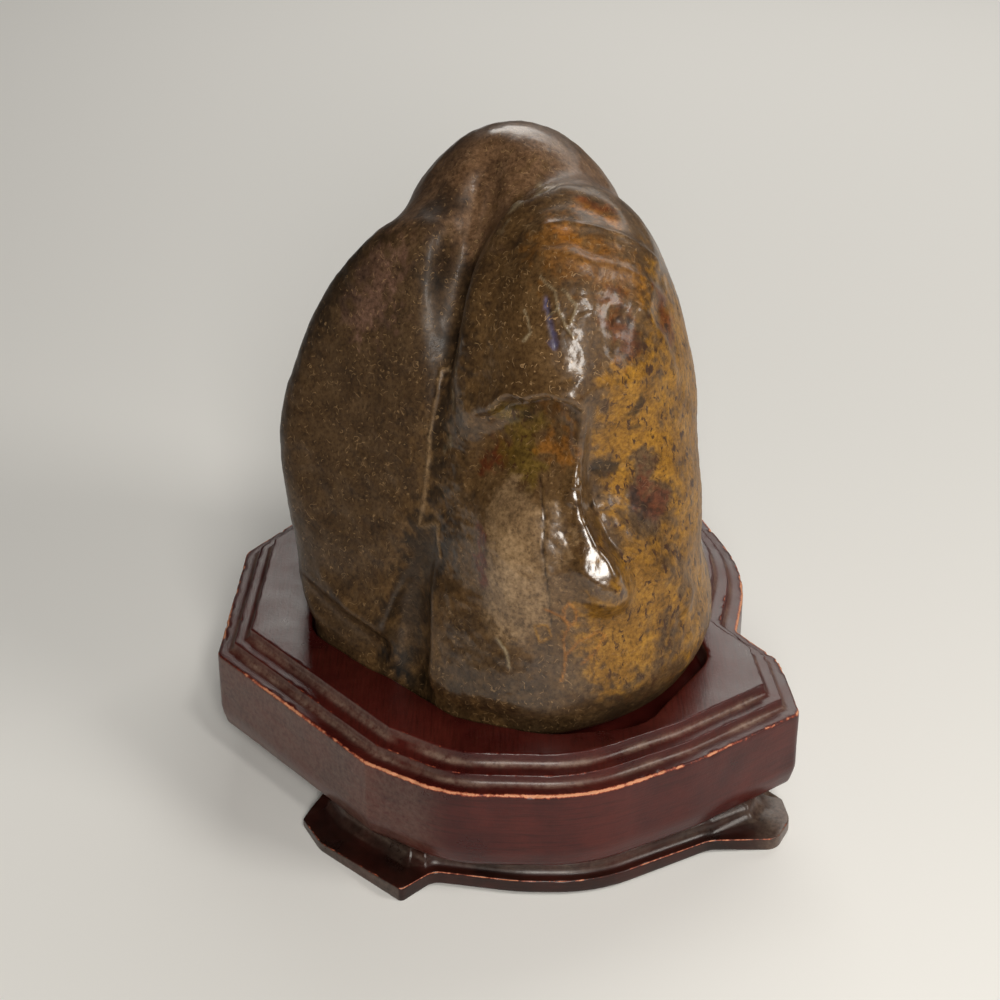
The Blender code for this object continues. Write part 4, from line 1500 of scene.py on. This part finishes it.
@dataclass
class FootBoard:
    """The board under the block: a slim rim that flares into a hollowed foot at each corner."""

    name: str = "foot_board"
    spacing: float = 1.0
    rim_lift: float = 1.2
    neck_inset: float = 3.4
    foot_hollow: float = 7.5
    pad_step: float = 1.5
    arris: float = 0.45
    chip: float = 0.4
    waver: float = 0.1
    neck_dust: float = 0.15
    neck_rings: int = 6

    # x, y, corner radius, height of the upright face, 1 on a foot and 0 on the rim.
    outline = (
        (79.0, -53.6, 1.5, 3.2, 1.0),
        (71.5, -47.5, 3.0, 5.0, 0.0),
        (70.0, -32.0, 8.0, 5.0, 0.0),
        (60.6, -14.0, 3.0, 5.0, 0.0),
        (66.0, 17.0, 60.0, 5.0, 0.0),
        (59.0, 49.0, 6.0, 5.0, 0.0),
        (66.0, 60.0, 1.5, 3.2, 1.0),
        (63.0, 75.0, 9.0, 3.4, 1.0),
        (47.5, 84.0, 1.5, 3.8, 1.0),
        (38.0, 79.0, 4.0, 5.0, 0.0),
        (19.0, 87.5, 28.0, 5.0, 0.0),
        (-18.0, 88.0, 20.0, 5.0, 0.0),
        (-28.0, 83.0, 3.0, 5.0, 0.0),
        (-34.0, 93.0, 1.5, 3.6, 1.0),
        (-53.0, 80.5, 12.0, 3.4, 1.0),
        (-62.5, 66.0, 1.5, 3.0, 1.0),
        (-54.0, 54.0, 4.0, 5.0, 0.0),
        (-69.5, 27.0, 5.0, 5.0, 0.0),
        (-71.0, -22.5, 5.0, 5.0, 0.0),
        (-49.0, -49.5, 5.0, 5.0, 0.0),
        (-55.9, -62.0, 1.2, 2.6, 1.0),
        (-50.5, -73.0, 12.0, 3.0, 1.0),
        (-27.3, -95.2, 1.2, 4.3, 1.0),
        (-18.5, -88.4, 5.0, 5.0, 0.0),
        (4.0, -92.6, 60.0, 5.0, 0.0),
        (25.0, -92.8, 40.0, 5.0, 0.0),
        (56.5, -74.6, 9.0, 4.6, 0.0),
        (75.6, -72.6, 5.0, 3.8, 1.0),
        (80.2, -63.0, 8.0, 3.4, 1.0),
    )

    def along(self, place: int, counts: list[tuple[int, int]]) -> Array:
        """One of the corners' values, carried round their arcs and evenly over the edges.

        Args:
            place: Which of a corner's values.
            counts: Steps for each arc and edge.

        Returns:
            One value for each point of the outline.
        """
        values = [corner[place] for corner in self.outline]
        spread = []
        for index, (arc, edge) in enumerate(counts):
            following = values[(index + 1) % len(values)]
            shares = np.linspace(0.0, 1.0, edge + 1)[1:-1]
            spread += [np.full(arc + 1, values[index]), values[index] + shares * (following - values[index])]
        return np.concatenate(spread)

    def build(self, material: bpy.types.Material) -> bpy.types.Object:
        """Make the board from its underside, out over its edge and up to its neck.

        Args:
            material: Its finish.

        Returns:
            The piece.
        """
        corners = [corner[:3] for corner in self.outline]
        counts = step_counts(corners, self.spacing)
        face, foot = self.along(3, counts), self.along(4, counts)
        ground = rounded(corners, counts)
        inwards = -ground / np.linalg.norm(ground, axis=1)[:, None]
        neck = rounded(offset_corners(corners, self.neck_inset), counts)
        neck = neck + self.foot_hollow * foot[:, None] * inwards
        width = np.linalg.norm(ground - neck, axis=1)
        lift = self.rim_lift * (1.0 - foot)

        def ring(back: Array | float, height: Array | float) -> Array:
            """Points a distance back from the board's edge, at a height."""
            share = np.clip(np.broadcast_to(back, len(ground)) / width, 0.0, 1.0)
            flat = ground + share[:, None] * (neck - ground)
            return np.column_stack([flat, np.broadcast_to(height, len(flat))])

        underside = ring(width, self.rim_lift)
        underside[:, :2] += self.pad_step * inwards
        bottoms = [np.column_stack([underside[:, :2] * share, underside[:, 2]]) for share in (0.1, 0.6)]
        rings = bottoms + [underside, ring(width, lift), ring(0.5 * width, lift), ring(0.3, lift)]
        rings += [ring(0.08, lift + 0.08), ring(0.0, lift + 0.3)]
        wear = [0.0] * len(rings)
        for share in (0.3, 0.6, 0.85):
            rings.append(ring(0.0, lift + 0.3 + share * (face - self.arris - lift - 0.3)))
            wear.append(0.0)
        for angle in np.linspace(0.0, 1.0, 5) * math.pi / 2.0:
            rings.append(
                ring(self.arris * (1.0 - math.cos(angle)), face - self.arris * (1.0 - math.sin(angle)))
            )
            wear.append(0.5 * math.sin(2.0 * angle))
        for back in np.linspace(0.0, 1.0, 17)[1:] ** 0.9:
            rise = 1.0 - math.sqrt(max(1.0 - back**3, 0.0))
            inner = self.arris + back * (width - self.arris)
            rings.append(ring(inner, face + rise * (BASE_TOP - face)))
            wear.append(0.0)
        rings += [np.column_stack([rings[-1][:, :2] * share, rings[-1][:, 2]]) for share in (0.6, 0.1)]
        wear += [0.0, 0.0]
        ones = np.ones(len(ground))
        dust_and_sheen = np.zeros(len(rings))
        dust_and_sheen[-2 - self.neck_rings : -2] = self.neck_dust
        bm = closed_band(rings, {"wear": np.outer(wear, ones), "dust_and_sheen": np.outer(dust_and_sheen, ones)})
        HandWork(self.chip, self.waver).leave_on(bm)
        return finish_piece(self.name, bm, material)


# ---------------------------------------------------------------- studio
@dataclass
class Studio:
    """A plain pale floor, soft lights and the camera."""

    camera_place: Point = (-0.0008, -0.56215, 0.38163)
    camera_tilt: float = 61.0
    lens: float = 80.0
    floor_size: tuple[float, float] = (1.6, 2.2)
    floor_middle: tuple[float, float] = (0.15, 0.1)
    middle: Point = (0.0, 0.0, 0.08)
    floor_colour: str = "#ececea"
    floor_roughness: float = 0.85
    air_colour: str = "#606062"
    air_strength: float = 0.15

    # Name, place, size, watts and colour of each soft box.
    lights = (
        ("key", (0.25, -0.60, 0.85), (0.12, 0.12), 1.4, "#fffaf2"),
        ("front", (0.06, -0.91, 0.55), (0.24, 0.36), 7.0, "#fffaf2"),
        ("right", (0.75, -0.35, 0.60), (0.30, 0.30), 3.4, "#fffaf2"),
        ("back", (0.30, 0.90, 0.74), (1.20, 0.40), 6.5, "#fdf9f2"),
    )

    def soft_light(
        self, name: str, place: Point, size: tuple[float, float], watts: float, colour: str
    ) -> None:
        """Hang a soft box that faces the rock.

        Args:
            name: Name of the light.
            place: Where it hangs, in metres.
            size: Its width and height in metres.
            watts: Its power.
            colour: Its sRGB hex colour.
        """
        light = bpy.data.lights.new(name, "AREA")
        light.shape = "RECTANGLE"
        light.size, light.size_y = size
        light.energy = watts
        light.color = linear(colour)[:3]
        box = bpy.data.objects.new(name, light)
        bpy.context.scene.collection.objects.link(box)
        box.location = place
        box.rotation_euler = (Vector(self.middle) - Vector(place)).to_track_quat("-Z", "Y").to_euler()

    def build(self) -> None:
        """Lay the floor, hang the lights and set the camera."""
        bm = bmesh.new()
        bmesh.ops.create_grid(bm, x_segments=2, y_segments=2, size=0.5)
        bmesh.ops.scale(bm, verts=bm.verts, vec=Vector((*self.floor_size, 1.0)) / MM)
        bmesh.ops.translate(bm, verts=bm.verts, vec=Vector((*self.floor_middle, 0.0)) / MM)
        material, _ = new_material("pale_floor")
        finish = {"Base Color": linear(self.floor_colour), "Roughness": self.floor_roughness}
        plug(material.node_tree.nodes["Principled BSDF"], finish)
        finish_piece("floor", bm, material)

        for light in self.lights:
            self.soft_light(*light)
        scene = bpy.context.scene
        world = bpy.data.worlds.new("studio_air")
        scene.world = world
        world.use_nodes = True
        air = {"Color": linear(self.air_colour), "Strength": self.air_strength}
        plug(world.node_tree.nodes["Background"], air)
        scene.view_settings.view_transform = "Standard"

        camera = bpy.data.cameras.new("camera")
        camera.lens = self.lens
        camera.sensor_width = 36.0
        camera.clip_start = 0.02
        eye = bpy.data.objects.new("camera", camera)
        scene.collection.objects.link(eye)
        eye.location = self.camera_place
        eye.rotation_euler = (math.radians(self.camera_tilt), 0.0, 0.0)
        scene.camera = eye


# ---------------------------------------------------------------- everything together
def main() -> None:
    """Build each piece, tie it to the frame and report it."""
    logging.basicConfig(level=logging.INFO, format="%(message)s")
    rock = ScholarsRock().build(WaxedStone().build())
    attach(rock, "root")
    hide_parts("stone")
    block = StandBlock().build(RedLacquer("red_lacquered_hardwood").build())
    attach(block, "root")
    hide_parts("stand_body")
    # The foot board takes a darker copy of the lacquer: painted shade for the board and feet under the
    # block.
    board = FootBoard().build(RedLacquer("red_lacquered_foot_painted_shade", deep="#1e100c", warm="#35150f").build())
    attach(board, "root")
    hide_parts("stand_base")
    for piece in (rock, block, board):
        LOG.info("%s: %d vertices", piece.name, len(piece.data.vertices))
    Studio().build()


if __name__ == "__main__":
    main()
